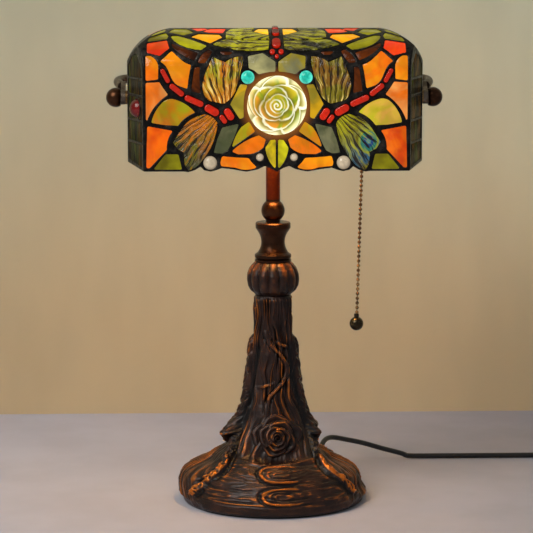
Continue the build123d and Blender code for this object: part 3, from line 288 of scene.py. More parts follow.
def rosette_relief(tree, offset, reach, angle):
    """How much a place lies on a petal's lip, which carries a painted highlight, and in the fold inside it,
    which carries painted shade.
    """
    bent = tree.plus(reach, tree.times(tree.minus(tree.noise(offset, 90, 2), 0.5), 0.16))
    swung = tree.plus(angle, tree.times(reach, 1.5))
    lip, fold_shade = 0.0, 0.0
    for count, size, start, width in ROSETTE_RINGS:
        lobe = tree.unsigned(tree.math("SINE", tree.plus(tree.times(swung, count / 2), start)))
        edge = tree.times(tree.plus(tree.times(lobe, 0.26), 0.80), size)
        past = tree.minus(bent, edge)
        lip = tree.larger(tree.ramp(tree.unsigned(past), width, width * 0.2), lip)
        fold_shade = tree.larger(tree.times(tree.ramp(past, 0.0, 0.02), tree.ramp(past, 0.18, 0.02)), fold_shade)
    coil = tree.math("FRACT", tree.minus(tree.times(bent, COIL_PITCH), tree.over(angle, 2 * PI)))
    coil = tree.ramp(tree.unsigned(tree.minus(coil, 0.5)), 0.30, 0.12)
    coil = tree.times(coil, tree.ramp(reach, 0.30, 0.22))
    glint = tree.ramp(tree.noise(offset, 75, 2), 0.36, 0.62, 0.35, 1.0)
    return tree.times(tree.larger(lip, coil), glint), fold_shade


def rose_glass(name):
    """The bright pressed rosette: petals wind out of its centre in a spiral relief, shown by painted
    highlights on the petal lips and painted shade in the folds.
    """
    tree = Tree(name)
    offset = tree.vector("SUBTRACT", tree.place(), tuple(ROSE))
    x, _, z = tree.split(offset)
    reach = tree.over(tree.vector("LENGTH", tree.join(x, 0.0, z)), ROSE_R)
    lip, fold_shade = rosette_relief(tree, offset, reach, tree.math("ARCTAN2", z, x))
    swirl = tree.ramp(tree.noise(offset, 42, 2, 0.5, 1.6), 0.42, 0.60)
    low_left = tree.ramp(tree.plus(x, tree.times(z, 0.7)), 0.004, -0.014)
    warm = tree.times(low_left, tree.ramp(tree.noise(offset, 60, 2, 0.5, 1.0), 0.35, 0.6))
    rim = tree.times(tree.ramp(reach, 0.70, 0.97), tree.ramp(tree.noise(offset, 38, 1), 0.35, 0.6, 0.35, 1.0))
    tint = tree.mix(swirl, ROSETTE_YELLOW, ROSETTE_GREEN)
    tint = tree.mix(warm, tint, ROSETTE_ORANGE)
    tint = tree.mix(rim, tint, ROSETTE_RIM)
    # Painted shade in the folds, then a painted highlight on the lips, which also glow a little brighter
    tint = tree.mix(tree.times(fold_shade, 0.80), tint, ROSETTE_FOLD_SHADE)
    tint = tree.mix(tree.times(lip, 0.95), tint, ROSETTE_LIP_HIGHLIGHT)
    strength = tree.plus(tree.ramp(reach, 0.55, 1.0, 0.80, 1.35), tree.times(lip, 0.25))
    return tree.surface(
        Base_Color=(0.02, 0.018, 0.006), Roughness=0.07, Emission_Color=tint, Emission_Strength=strength,
        Normal=tree.bump(lip, 0.0016, 0.9),
    )


def jewel_glass(name, deep, pale, lit, roughness=0.08, falls=False):
    """Cast cabochon glass, paler where it is thin at the rim; falls dims it away from the bulb."""
    tree = Tree(name)
    facing = tree.node("ShaderNodeLayerWeight", Blend=0.45).outputs["Facing"]
    cloud = tree.noise(tree.place(), 190, 3, 0.6, 0.8)
    thin = tree.ramp(tree.plus(facing, tree.times(cloud, 0.5)), 0.25, 0.95)
    tint = tree.mix(thin, deep, pale)
    strength = tree.times(tree.ramp(cloud, 0.35, 0.7, 0.7, 1.2), lit)
    if falls:
        strength = tree.times(strength, tree.math("POWER", glow(tree), 2.0))
    return tree.surface(
        Base_Color=tree.mix(0.6, tint, BLACK), Emission_Color=tint, Emission_Strength=strength,
        Roughness=tree.ramp(cloud, 0.3, 0.8, roughness, roughness + 0.14),
        Normal=tree.bump(cloud, 0.0009, 0.5),
    )


SOLDER_DARK, SOLDER_WORN, SOLDER_PAINTED_GLOW = (0.010, 0.009, 0.008), (0.050, 0.044, 0.038), (0.42, 0.13, 0.015)


def solder(name):
    """Blackened solder, lumpy and half polished, with a painted brown glow right round the lit rosette that
    stands for the rosette's light falling on it.
    """
    tree = Tree(name)
    place = tree.place()
    lumps = tree.noise(place, 260, 3, 0.6)
    wear = tree.ramp(tree.noise(place, 75, 4, 0.65), 0.45, 0.7)
    reach = tree.over(tree.vector("LENGTH", tree.vector("SUBTRACT", place, tuple(ROSE))), ROSE_R)
    # Painted glow: the solder near the rosette gives off brown light that it would not give off itself
    painted_halo = tree.ramp(reach, 1.5, 0.98)
    return tree.surface(
        Base_Color=tree.mix(wear, SOLDER_DARK, SOLDER_WORN), Metallic=0.75,
        Roughness=tree.ramp(lumps, 0.3, 0.75, 0.26, 0.52), Emission_Color=SOLDER_PAINTED_GLOW,
        Emission_Strength=tree.times(tree.math("POWER", painted_halo, 2.0), 0.55),
        Normal=tree.bump(lumps, 0.0007, 0.55),
    )


def metal(name, deep, worn, metallic=0.85, roughness=(0.28, 0.5), scale=120.0, relief=0.3):
    """Patinated metal: a dark ground worn lighter in patches, with fine scratches and pits."""
    tree = Tree(name)
    place = tree.place()
    patches = tree.ramp(tree.noise(place, scale, 4, 0.62), 0.40, 0.68)
    grain = tree.noise(tree.stretched(place, (1, 1, 4)), 620, 3, 0.6)
    return tree.surface(
        Base_Color=tree.mix(patches, deep, worn), Metallic=metallic,
        Roughness=tree.ramp(grain, 0.3, 0.75, *roughness), Normal=tree.bump(grain, 0.0003, relief),
    )


def plain(name, deep, pale, roughness=0.5, scale=200.0, sheen=0.0, relief=0.2):
    """A non-metal surface with faint mottling and a fine grain."""
    tree = Tree(name)
    place = tree.place()
    patches = tree.ramp(tree.noise(place, scale, 4, 0.6), 0.35, 0.7)
    grain = tree.noise(place, scale * 6, 3, 0.6)
    rough = tree.ramp(grain, 0.3, 0.7, roughness - 0.08, roughness + 0.1)
    return tree.surface(
        Base_Color=tree.mix(patches, deep, pale), Roughness=rough, Sheen_Weight=sheen,
        Normal=tree.bump(grain, 0.0004, relief),
    )


# The bronze finish: its dark and paler ground, its hollows, and the copper it is rubbed through to
BRONZE_DARK, BRONZE_PALE = (0.014, 0.006, 0.004), (0.048, 0.018, 0.010)
BRONZE_HOLLOW, COPPER = (0.004, 0.0025, 0.002), (0.52, 0.15, 0.018)


def rubbed_bronze(name):
    """Cast resin in a dark bronze finish, rubbed through to copper on its ridges."""
    tree = Tree(name)
    place = tree.place()
    ridge = tree.number("ridge")
    patches = tree.noise(place, 55, 4, 0.6)
    grain = tree.noise(place, 480, 3, 0.6)
    wear = tree.plus(ridge, tree.times(tree.minus(patches, 0.5), 0.6))
    rubbed = tree.ramp(wear, 0.50, 0.95)
    ground = tree.mix(tree.ramp(patches, 0.35, 0.7), BRONZE_DARK, BRONZE_PALE)
    ground = tree.mix(tree.ramp(ridge, 0.30, 0.02), ground, BRONZE_HOLLOW)
    tint = tree.mix(rubbed, ground, COPPER)
    return tree.surface(
        Base_Color=tint, Metallic=tree.ramp(rubbed, 0, 1, 0.25, 0.65), Specular_IOR_Level=0.4,
        Roughness=tree.ramp(grain, 0.3, 0.75, 0.3, 0.5), Normal=tree.bump(grain, 0.0005, 0.45),
    )


# ---------------- geometry helpers
def placed(name, data):
    """A new object in the scene, made of a mesh, light or camera."""
    thing = bpy.data.objects.new(name, data)
    bpy.context.scene.collection.objects.link(thing)
    return thing


def smooth_object(name, mesh, body, material, slot, *stands_for):
    """Places a finished mesh, shades it smooth, ties it to its body, and hides the CAD nodes it stands for.
    """
    thing = placed(name, mesh)
    mesh.polygons.foreach_set("use_smooth", [True] * len(mesh.polygons))
    dress(thing, material)
    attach(thing, body)
    if stands_for:
        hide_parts(*stands_for)
    return thing


WELD_REACH = 0.004


def welded(node):
    """A bmesh copy of a CAD node with its split vertices joined again."""
    copy = bmesh.new()
    copy.from_mesh(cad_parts[node].data)
    bmesh.ops.remove_doubles(copy, verts=copy.verts, dist=WELD_REACH * MM)
    return copy


def islands(copy):
    """The separate pieces of a bmesh, each a list of vertices."""
    left = set(copy.verts)
    found = []
    for start in copy.verts:
        if start not in left:
            continue
        left.discard(start)
        piece, queue = [], [start]
        while queue:
            vertex = queue.pop()
            piece.append(vertex)
            for edge in vertex.link_edges:
                other = edge.other_vert(vertex)
                if other in left:
                    left.discard(other)
                    queue.append(other)
        found.append(piece)
    return found


def paint(mesh, name, colours):
    """Stores a colour for each vertex."""
    data = mesh.attributes.new(name, "FLOAT_COLOR", "POINT").data
    flat = np.ones((len(mesh.vertices), 4), np.float32)
    flat[:, :3] = colours
    data.foreach_set("color", flat.ravel())


def measure(mesh, name, values):
    """Stores a number for each vertex."""
    mesh.attributes.new(name, "FLOAT", "POINT").data.foreach_set("value", np.asarray(values, np.float32))


def grid_mesh(name, points, ridge):
    """A mesh from a grid of points in millimetres, closed round the turn; ridge says where it is rubbed."""
    rows, columns = points.shape[:2]
    index = np.arange(rows * columns).reshape(rows, columns)
    right = np.roll(index, -1, axis=1)
    faces = np.stack([index[:-1], right[:-1], right[1:], index[1:]], axis=-1).reshape(-1, 4)
    mesh = bpy.data.meshes.new(name)
    mesh.from_pydata((points.reshape(-1, 3) * MM).tolist(), [], faces.tolist())
    measure(mesh, "ridge", ridge.ravel())
    mesh.update()
    return mesh


def lattice_noise(turn, height, seed, around, pitch):
    """Smooth seeded noise from -1 to 1 over a turned surface: around cells in one turn, pitch mm up it."""
    rows = 400
    values = np.random.default_rng(seed).uniform(-1, 1, (rows, around))
    across = (turn / (2 * PI)) % 1 * around
    up = height / pitch + rows / 2
    column, row = np.floor(across).astype(int), np.floor(up).astype(int)
    part_u, part_v = (step_up(part, 0, 1) for part in (across - column, up - row))
    corner = [values[(row + v) % rows, (column + u) % around] for v in (0, 1) for u in (0, 1)]
    low = corner[0] + (corner[1] - corner[0]) * part_u
    high = corner[2] + (corner[3] - corner[2]) * part_u
    return low + (high - low) * part_v


def ridged(*place):
    """Sharp-crested noise: 1 along the crests, falling to 0 in the hollows."""
    return 1 - np.abs(lattice_noise(*place)) * 1.6


def smoothed(grid, rows, columns):
    """A grid blurred over a number of rows, and over a number of columns round the turn."""
    up, across = np.hanning(rows + 2)[1:-1], np.hanning(columns + 2)[1:-1]
    padded = np.pad(grid, ((rows // 2, rows // 2), (0, 0)), "edge")
    tall = np.apply_along_axis(np.convolve, 0, padded, up / up.sum(), "valid")
    padded = np.pad(tall, ((0, 0), (columns // 2, columns // 2)), "wrap")
    return np.apply_along_axis(np.convolve, 1, padded, across / across.sum(), "valid")


def blob(offset, width):
    """A bell curve of one offset."""
    return np.exp(-((offset / width) ** 2))


def dome(offset, radius):
    """The height, from 0 to 1, of a round back that is radius wide on each side."""
    return np.sqrt(np.clip(1 - (offset / radius) ** 2, 0, 1))


def step_up(value, low, high):
    """0 below low, 1 above high, smooth between."""
    share = np.clip((value - low) / (high - low), 0, 1)
    return share * share * (3 - 2 * share)


# ---------------- glass colours
ORANGE = (1.0, 0.18, 0.0008)
DEEP_ORANGE = (0.80, 0.07, 0.0006)
YELLOW_ORANGE = (1.0, 0.33, 0.002)
PEACH = (0.92, 0.38, 0.09)
RED = (0.85, 0.028, 0.006)
AMBER = (0.60, 0.17, 0.002)
OLIVE = (0.17, 0.14, 0.003)
GREEN = (0.34, 0.31, 0.004)
LIME = (0.48, 0.44, 0.006)
YELLOW_GREEN = (0.72, 0.50, 0.004)
YELLOW = (1.0, 0.50, 0.003)
BROWN = (0.15, 0.030, 0.003)
DARK_BROWN = (0.030, 0.008, 0.003)
SLATE = (0.08, 0.09, 0.035)
SMOKE = (0.20, 0.19, 0.09)
GOLD = (0.62, 0.34, 0.008)
PALE_GOLD = (0.40, 0.36, 0.15)
DULL_GOLD = (0.30, 0.23, 0.02)
DARK_GOLD = (0.20, 0.085, 0.003)
BLACK_GREEN = (0.016, 0.018, 0.003)
BLUE = (0.03, 0.12, 0.20)
WHITE_GOLD = (1.0, 0.72, 0.20)

# For each node of panes: its two tints and how brightly it is lit
PANE_TINTS = {
    "glass_orange": (ORANGE, YELLOW_ORANGE, 0.95),
    "glass_red": (DEEP_ORANGE, RED, 1.0),
    "glass_peach": (PEACH, ORANGE, 0.85),
    "glass_amber": (AMBER, GREEN, 0.85),
    "glass_green": (GREEN, OLIVE, 0.80),
    "glass_yellow": (YELLOW, YELLOW_ORANGE, 1.0),
    "glass_umber": (BROWN, DARK_BROWN, 0.75),
    "glass_slate": (SLATE, SMOKE, 0.8),
    "glass_clear": (GOLD, PALE_GOLD, 1.0),
    "glass_ends": (BLACK_GREEN, DARK_BROWN, 0.9),
}
# Single panes that differ: (node, each x, z in mm of a point near the pane's middle, tint, tint, brightness)
PANE_ACCENTS = [
    ("glass_orange", (-30, 30), 331, ORANGE, AMBER, 0.9),
    ("glass_orange", (-103, 103), 332, ORANGE, DEEP_ORANGE, 0.95),
    ("glass_green", (-4,), 322, YELLOW_GREEN, OLIVE, 1.4),
    ("glass_green", (4,), 322, LIME, OLIVE, 1.3),
    ("glass_clear", (-16,), 388, SMOKE, PALE_GOLD, 0.9),
    ("glass_clear", (16,), 388, DULL_GOLD, SMOKE, 0.95),
    ("glass_clear", (-38, 38), 362, DULL_GOLD, GOLD, 0.9),
    ("glass_green", (-95, 95), 316, OLIVE, GREEN, 0.8),
    ("glass_amber", (90,), 357, LIME, PEACH, 0.85),
    ("glass_amber", (-90,), 357, AMBER, GREEN, 0.9),
    ("glass_amber", (28,), 340, GREEN, AMBER, 0.95),
    ("glass_green", (-80,), 408, GREEN, LIME, 0.85),
    ("glass_green", (80,), 408, GREEN, OLIVE, 0.85),
]

# Wings: (x, z in mm at root and at tip, root tint, tip tint, patch tint, tint of the painted highlight on the
# rib crests, brightness)
WINGS = [
    ((-43, 358), (-48, 402), AMBER, GREEN, AMBER, WHITE_GOLD, 0.80),
    ((46, 358), (42, 402), OLIVE, OLIVE, DARK_GOLD, WHITE_GOLD, 0.80),
    ((-53, 352), (-84, 312), AMBER, SLATE, OLIVE, AMBER, 0.75),
    ((53, 352), (84, 312), GREEN, BLUE, OLIVE, LIME, 0.75),
    ((-6, 417), (-40, 424), GREEN, LIME, OLIVE, LIME, 0.80),
    ((6, 417), (40, 424), OLIVE, GREEN, BLACK_GREEN, LIME, 0.70),
]


# ---------------- glass pieces
def rounded(thing, width):
    """Rounds a piece's sharp edges, as fire polishing does."""
    bevel = thing.modifiers.new("rounding", "BEVEL")
    bevel.width = width * MM
    bevel.segments = 2
    bevel.limit_method = "ANGLE"
    bevel.angle_limit = math.radians(50)
    bevel.harden_normals = True
    return thing


def grown(copy, piece, outwards):
    """Grows a pane a little along its normals, so that it fills its leaded opening."""
    bmesh.ops.recalc_face_normals(copy, faces=list({face for vertex in piece for face in vertex.link_faces}))
    moves = [(vertex, vertex.normal.copy()) for vertex in piece]
    for vertex, normal in moves:
        vertex.co += normal * outwards * MM


def nearest(spots, x, z):
    """Which of the (x, z) spots lies nearest to a place."""
    spans = [math.hypot(spot[0] - x, spot[1] - z) for spot in spots]
    return spans.index(min(spans))


PANE_GROWTH = 0.35
draws = np.random.default_rng(11)


def panes(node, material):
    """The panes of one CAD node, each with its own two tints, brightness and place in the streaks."""
    copy = welded(node)
    found = islands(copy)
    centres = [sum((vertex.co for vertex in piece), Vector()) / len(piece) / MM for piece in found]
    spots = [(centre.x, centre.z) for centre in centres]
    looks = [PANE_TINTS[node]] * len(found)
    for accent, places, z, *look in PANE_ACCENTS:
        for x in places if accent == node else ():
            looks[nearest(spots, x, z)] = look
    total = len(copy.verts)
    copy.verts.index_update()
    tint_a, tint_b, shift = np.zeros((total, 3)), np.zeros((total, 3)), np.zeros((total, 3))
    lit = np.zeros(total)
    for piece, look in zip(found, looks):
        grown(copy, piece, PANE_GROWTH)
        members = [vertex.index for vertex in piece]
        shade = draws.uniform(0.88, 1.1)
        tint_a[members] = np.array(look[0]) * shade
        tint_b[members] = np.array(look[1]) * shade
        shift[members] = draws.uniform(0, 1, 3)
        lit[members] = look[2] * draws.uniform(0.92, 1.08)
    mesh = bpy.data.meshes.new(node + "_panes")
    copy.to_mesh(mesh)
    copy.free()
    for name, colours in (("tint_a", tint_a), ("tint_b", tint_b), ("shift", shift)):
        paint(mesh, name, np.clip(colours, 0, 1))
    measure(mesh, "lit", lit)
    thing = smooth_object(node + "_panes", mesh, "shade", material, node, node)
    return rounded(thing, 0.5)


def wings():
    """The dragonflies' wings, each with its rib directions and its own tints."""
    copy = welded("glass_wings")
    copy.verts.index_update()
    total = len(copy.verts)
    tints = {name: np.zeros((total, 3)) for name in ("tint_a", "tint_b", "tint_c", "crest_highlight")}
    reach, side, reach_end, lit = (np.zeros(total) for _ in range(4))
    middles = [((root[0] + tip[0]) / 2, (root[1] + tip[1]) / 2) for root, tip, *_ in WINGS]
    for piece in islands(copy):
        grown(copy, piece, PANE_GROWTH)
        members = [vertex.index for vertex in piece]
        spots = np.array([(vertex.co.x, vertex.co.y, vertex.co.z) for vertex in piece]) / MM
        middle = spots.mean(axis=0)
        root, tip, *colours, bright = WINGS[nearest(middles, middle[0], middle[2])]
        run = np.array(tip, float) - root
        length = np.linalg.norm(run)
        way = run / length
        flat = spots[:, [0, 2]] - root
        if middle[2] > 410:
            flat[:, 1] = (spots[:, 1] - middle[1]) * 0.8
            way = np.array([math.copysign(1, run[0]), 0.0])
        reach[members] = flat @ way
        side[members] = flat @ np.array([-way[1], way[0]])
        reach_end[members] = length
        for name, colour in zip(tints, colours):
            tints[name][members] = colour
        lit[members] = bright
    mesh = bpy.data.meshes.new("wing_glass")
    copy.to_mesh(mesh)
    copy.free()
    for name, colours in tints.items():
        paint(mesh, name, colours)
    for name, values in (("reach", reach), ("side", side), ("length", reach_end), ("lit", lit)):
        measure(mesh, name, values)
    glass = ribbed_glass("ribbed_wing_glass")
    return rounded(smooth_object("wing_panes", mesh, "shade", glass, "glass_wings", "glass_wings"), 0.6)


streaky = pane_glass("streaky_glass")
dark_ripple = pane_glass("dark_ripple_glass", streak=0.4, ripple=0.9, shine=0.05, gloss=0.15)


def end_glass(name):
    """Nearly black rippled glass with thin upright streaks of green and brown."""
    tree = Tree(name)
    place = tree.place()
    drawn = tree.stretched(place, (1.0, 1.0, 0.16))
    streaks = tree.noise(drawn, 210, 3, 0.6, 1.2)
    green = tree.ramp(tree.noise(drawn, 80, 2), 0.45, 0.6)
    tint = tree.mix(green, (0.075, 0.032, 0.003), (0.040, 0.050, 0.004))
    tint = tree.mix(tree.ramp(streaks, 0.60, 0.44), tint, (0.004, 0.004, 0.003))
    strength = tree.times(glow(tree), 0.9)
    return tree.surface(
        Base_Color=(0.006, 0.006, 0.005), Roughness=0.3, Specular_IOR_Level=0.02, Emission_Color=tint,
        Emission_Strength=strength, Normal=tree.bump(streaks, 0.0012, 0.6),
    )


GLASS_LOOKS = {
    "glass_ends": end_glass("dark_end_glass"), "glass_umber": dark_ripple, "glass_clear": dark_ripple,
}
for pane_node in sorted(PANE_TINTS):
    panes(pane_node, GLASS_LOOKS.get(pane_node, streaky))
wings()

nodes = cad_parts
dress(nodes["rose_cabochon"], rose_glass("rosette_glass"))
dress(nodes["turquoise_jewels"], jewel_glass("turquoise_glass", (0.01, 0.45, 0.33), (0.14, 0.85, 0.66), 1.0))
dress(nodes["pearl_nuggets"], jewel_glass("pearl_glass", (0.62, 0.50, 0.34), (0.20, 0.15, 0.10), 0.75, 0.12))
dress(nodes["end_cabochon"], jewel_glass("garnet_glass", (0.22, 0.004, 0.002), (0.07, 0.001, 0.001), 0.4))
body_glass = jewel_glass("red_body_glass", (0.80, 0.022, 0.002), (0.10, 0.002, 0.001), 0.44, falls=True)
dress(nodes["dragonfly_bodies"], body_glass)

# ---------------- solder lines
LEAD_VOXEL = 0.62
# The seam that comes nearest to the hub when the shade is tilted: where it is, and how far it is dressed in
HUB_SEAM_X = 12.0
HUB_SEAM_Y = -30.0
HUB_RELIEF = Vector((0, -0.12, -0.12))


def solder_lines():
    """The leading with its strips rounded over like run solder."""
    copy = welded("shade_leading")
    for vertex in copy.verts:
        if abs(vertex.co.x) < HUB_SEAM_X * MM and vertex.co.y > HUB_SEAM_Y * MM:
            vertex.co += HUB_RELIEF * MM
    mesh = bpy.data.meshes.new("solder_lines")
    copy.to_mesh(mesh)
    copy.free()
    metal_look = solder("blackened_solder")
    thing = smooth_object("solder_lines", mesh, "shade", metal_look, "shade_leading", "shade_leading")
    melt = thing.modifiers.new("melt", "REMESH")
    melt.mode = "VOXEL"
    melt.voxel_size = LEAD_VOXEL * MM
    melt.use_smooth_shade = True
    settle = thing.modifiers.new("settle", "SMOOTH")
    settle.factor = 0.5
    settle.iterations = 3
    return thing


solder_lines()


# ---------------- foot
# The foot's plain profile at the front, as (radius, height), from the rim's inside edge up to the neck
FOOT_PROFILE = [
    (66, 1.4), (81.5, 1.4), (84, 2.6), (84.5, 6), (83, 11), (79.5, 18), (74, 26), (66, 34), (57, 40),
    (48.5, 44.5), (41.5, 50.5), (35.5, 59), (31, 67), (27.6, 77), (24.4, 89), (21.6, 106), (19.2, 129),
    (17, 148), (16.3, 160), (16, 186.6),
]
# How far the foot reaches at its two sides, as (height, radius): leaf strands, a curled lump, then the pads
SIDE_REACH = [
    (0, 80.5), (5, 82), (12, 82.5), (21, 82), (28, 78.5), (33, 71), (38.5, 58.5), (44, 51.5), (48, 44),
    (50.5, 41), (56, 45), (62, 45.5), (68, 41.5), (77, 33.5), (89, 28.8), (106, 25.5), (129, 22.3),
    (146, 20), (152, 16.8), (187, 16),
]
# The right side stands in a little more than the left
RIGHT_TRIM = 5.5
# The hole that the rod passes through, in the top of the foot and of the melon
NECK_HOLE_R = 5.2
FOOT_ROWS = 460
FOOT_COLUMNS = 720
# Knots in the wood: x, height, half width, half height
KNOTS = [(1.0, 35.0, 13.0, 5.6), (3.0, 18.5, 13.0, 6.6)]
KNOT_LOOPS = [(1.0, 0.13, 1.7), (0.62, 0.11, 1.2), (0.28, 0.11, 1.1)]
GRAIN_PITCH = 3.0
# Where the hollow beside each leaf strand runs, as (height, x)
HOLLOW = [(26, 54), (38, 41), (60, 31), (99, 20), (148, 12)]
# The thick stalk that runs from each leaf strand down across the pad to the rim, as (height, x)
STALK = [(12, 73), (28, 57), (38.5, 45.5), (48.5, 37.5), (60, 33.5), (75, 29)]
STALK_R = 2.8
# Where the vine runs, as (height, x)
VINE = [
    (84, -6.0), (90, -5.6), (97, -3.5), (104, 2.5), (112, 8.6), (120, 11.0), (127, 10.0), (134, 6.0),
    (142, -1.0), (149, -5.0), (156, -6.5),
]
VINE_R = 2.1
# Side twigs of the vine: x, height, slant and half length
TWIGS = [(6.5, 143.5, -0.5, 6.5), (-6.5, 107.0, 0.35, 8.0)]
TWIG_R = 1.5
# How far each kind of carving stands out, or is cut in
BARK_RISE, GRAIN_RISE, VINE_RISE, STALK_RISE, LIP_RISE = 1.05, 1.25, 2.6, 2.4, 1.1
HOLLOW_R, HOLLOW_CUT, ROSE_CUT = 2.3, 3.4, 2.4
# Heights of the low lips round the rim and round the trunk's root
RIM_LIP_Z, ROOT_LIP_Z = 9.5, 43.0
# The leaf strand and pad on each side: their turn from the front, their half width by height, the height
# that the pad's ribs fan out from, and the curled lump
SIDE_TURN = PI / 2 - 0.06
SIDE_WIDTH = [(0, 46), (30, 40), (46, 27), (50, 11), (62, 10.5), (72, 8), (90, 6.2), (187, 5.5)]
FAN_Z = 60
LUMP_Z, LUMP_R = 61, 8
# The blur, in rows and columns of the foot's grid, that finds what stands out and is rubbed through to copper
RUB_BLUR = (21, 31)


def table(pairs, at):
    """A smooth curve through (position, value) pairs, read off at each place."""
    places, values = np.array(pairs, float).T
    slopes = np.gradient(values, places)
    index = np.clip(np.searchsorted(places, at) - 1, 0, len(places) - 2)
    span = places[index + 1] - places[index]
    share = np.clip((at - places[index]) / span, 0, 1)
    start, end = values[index], values[index + 1]
    lead_in, lead_out = span * slopes[index] - end + start, end - start - span * slopes[index + 1]
    return start + (end - start) * share + share * (1 - share) * ((1 - share) * lead_in + share * lead_out)


def foot_profile():
    """Evenly spaced points along the foot's profile, rounded at its corners."""
    corners = np.array(FOOT_PROFILE, float)
    spans = np.r_[0, np.cumsum(np.hypot(*np.diff(corners, axis=0).T))]
    even = np.linspace(0, spans[-1], FOOT_ROWS)
    radius, height = (np.interp(even, spans, corners[:, part]) for part in (0, 1))
    kernel = np.hanning(15) / np.hanning(15).sum()
    for line in (radius, height):
        line[7:-7] = np.convolve(line, kernel, "valid")
    return radius, height, even


def bark(angle, height):
    """Upright bark: broad plates parted by narrow cracks."""
    bend = 0.28 * lattice_noise(angle, height, 4, 7, 34) + 0.07 * lattice_noise(angle, height, 14, 16, 12)
    plates = ridged(angle + bend, height, 5, 34, 52)
    splits = ridged(angle + bend, height, 6, 68, 30)
    fine = lattice_noise(angle + bend, height, 7, 130, 16)
    return 2.0 * np.clip(plates, -0.6, 0.7) + 1.2 * splits + 0.4 * fine


def wood(angle, height, run, across):
    """Lying wood grain that flows round two knots."""
    warp = lattice_noise(angle, run, 8, 11, 16) + 0.5 * lattice_noise(angle, run, 9, 26, 7)
    lines = run + 3.0 * warp
    for x, z, wide, tall in KNOTS:
        lines = lines + 6.5 * np.exp(-(((across - x) / wide / 1.7) ** 2) - ((height - z) / tall / 1.3) ** 2)
    grain = ridged(angle, lines, 10, 19, GRAIN_PITCH) + 0.5 * ridged(angle, lines, 11, 40, GRAIN_PITCH * 0.5)
    return grain * (0.75 + 0.4 * lattice_noise(angle, run, 12, 8, 22))


def knot_loops(angle, height, across, run):
    """The raised loops round the knots, closed on the left and trailing off to the right."""
    loops = np.zeros_like(across + height)
    wobble = 0.14 * lattice_noise(angle, run, 13, 30, 6)
    for x, z, wide, tall in KNOTS:
        sideways = across - x
        stretch = np.where(sideways > 0, 2.6, 1.0)
        oval = np.hypot(sideways / (wide * stretch), (height - z) / tall) + wobble
        fade = step_up(sideways, wide * 2.4, wide * 0.2)
        for size, width, rise in KNOT_LOOPS:
            loops = loops + rise * blob(oval - size, width) * fade
        loops = loops - 1.2 * blob(oval - 1.28, 0.12) * fade
    return loops * step_up(np.cos(angle), 0, 0.3)


def side_work(angle, height, radius, side):
    """One side's leaf strand, curled lump and ribbed pad: how far they reach out, and how much they cover."""
    off = (angle - side * SIDE_TURN + PI) % (2 * PI) - PI
    arc = off * radius
    reach = table(SIDE_REACH, height) - radius
    if side > 0:
        reach = reach - RIGHT_TRIM * step_up(height, 6, 18) * step_up(height, 74, 60)
    ragged = 1 + 0.22 * lattice_noise(angle, height, 20 + side, 40, 6)
    cover = np.exp(-((arc / (table(SIDE_WIDTH, height) * ragged)) ** 12))
    fan = np.arctan2(arc - side * 6, np.maximum(FAN_Z - height, 1) * 1.3)
    out = np.hypot(arc, FAN_Z - height)
    ribs = ridged(fan, out, 22 + side, 64, 22) + 0.5 * ridged(fan, out, 25 + side, 120, 12)
    ribs = ribs * step_up(height, 52, 47) * step_up(height, 4, 9)
    scales = ridged(angle + side * height / 60, height, 28 + side, 46, 5.2)
    scales = scales * step_up(height, 50, 56) * step_up(height, 153, 146)
    curl = np.hypot(arc, height - LUMP_Z) / LUMP_R
    whorl = -1.6 * blob(curl - 0.62, 0.14) * step_up(height, 50, 54)
    return reach * cover + (2.2 * ribs + 1.8 * scales + whorl) * cover, cover


def vine_work(across, height, front):
    """The vine up the trunk with its twigs: how raised each place is, and the cut along the vine's sides."""
    beside_vine = np.abs(across - table(VINE, height))
    shown = step_up(height, 158, 153) * step_up(height, 78, 86) * front
    vine = shown * dome(beside_vine, VINE_R)
    for x, z, slant, length in TWIGS:
        along = (across - x) * math.cos(slant) + (height - z) * math.sin(slant)
        beside = (height - z) * math.cos(slant) - (across - x) * math.sin(slant)
        taper = np.clip(1 - np.abs(along) / length, 0, 1) ** 0.5
        vine = np.maximum(vine, front * taper * dome(beside, TWIG_R))
    return vine, 0.9 * blob(beside_vine - VINE_R - 0.7, 0.8) * shown


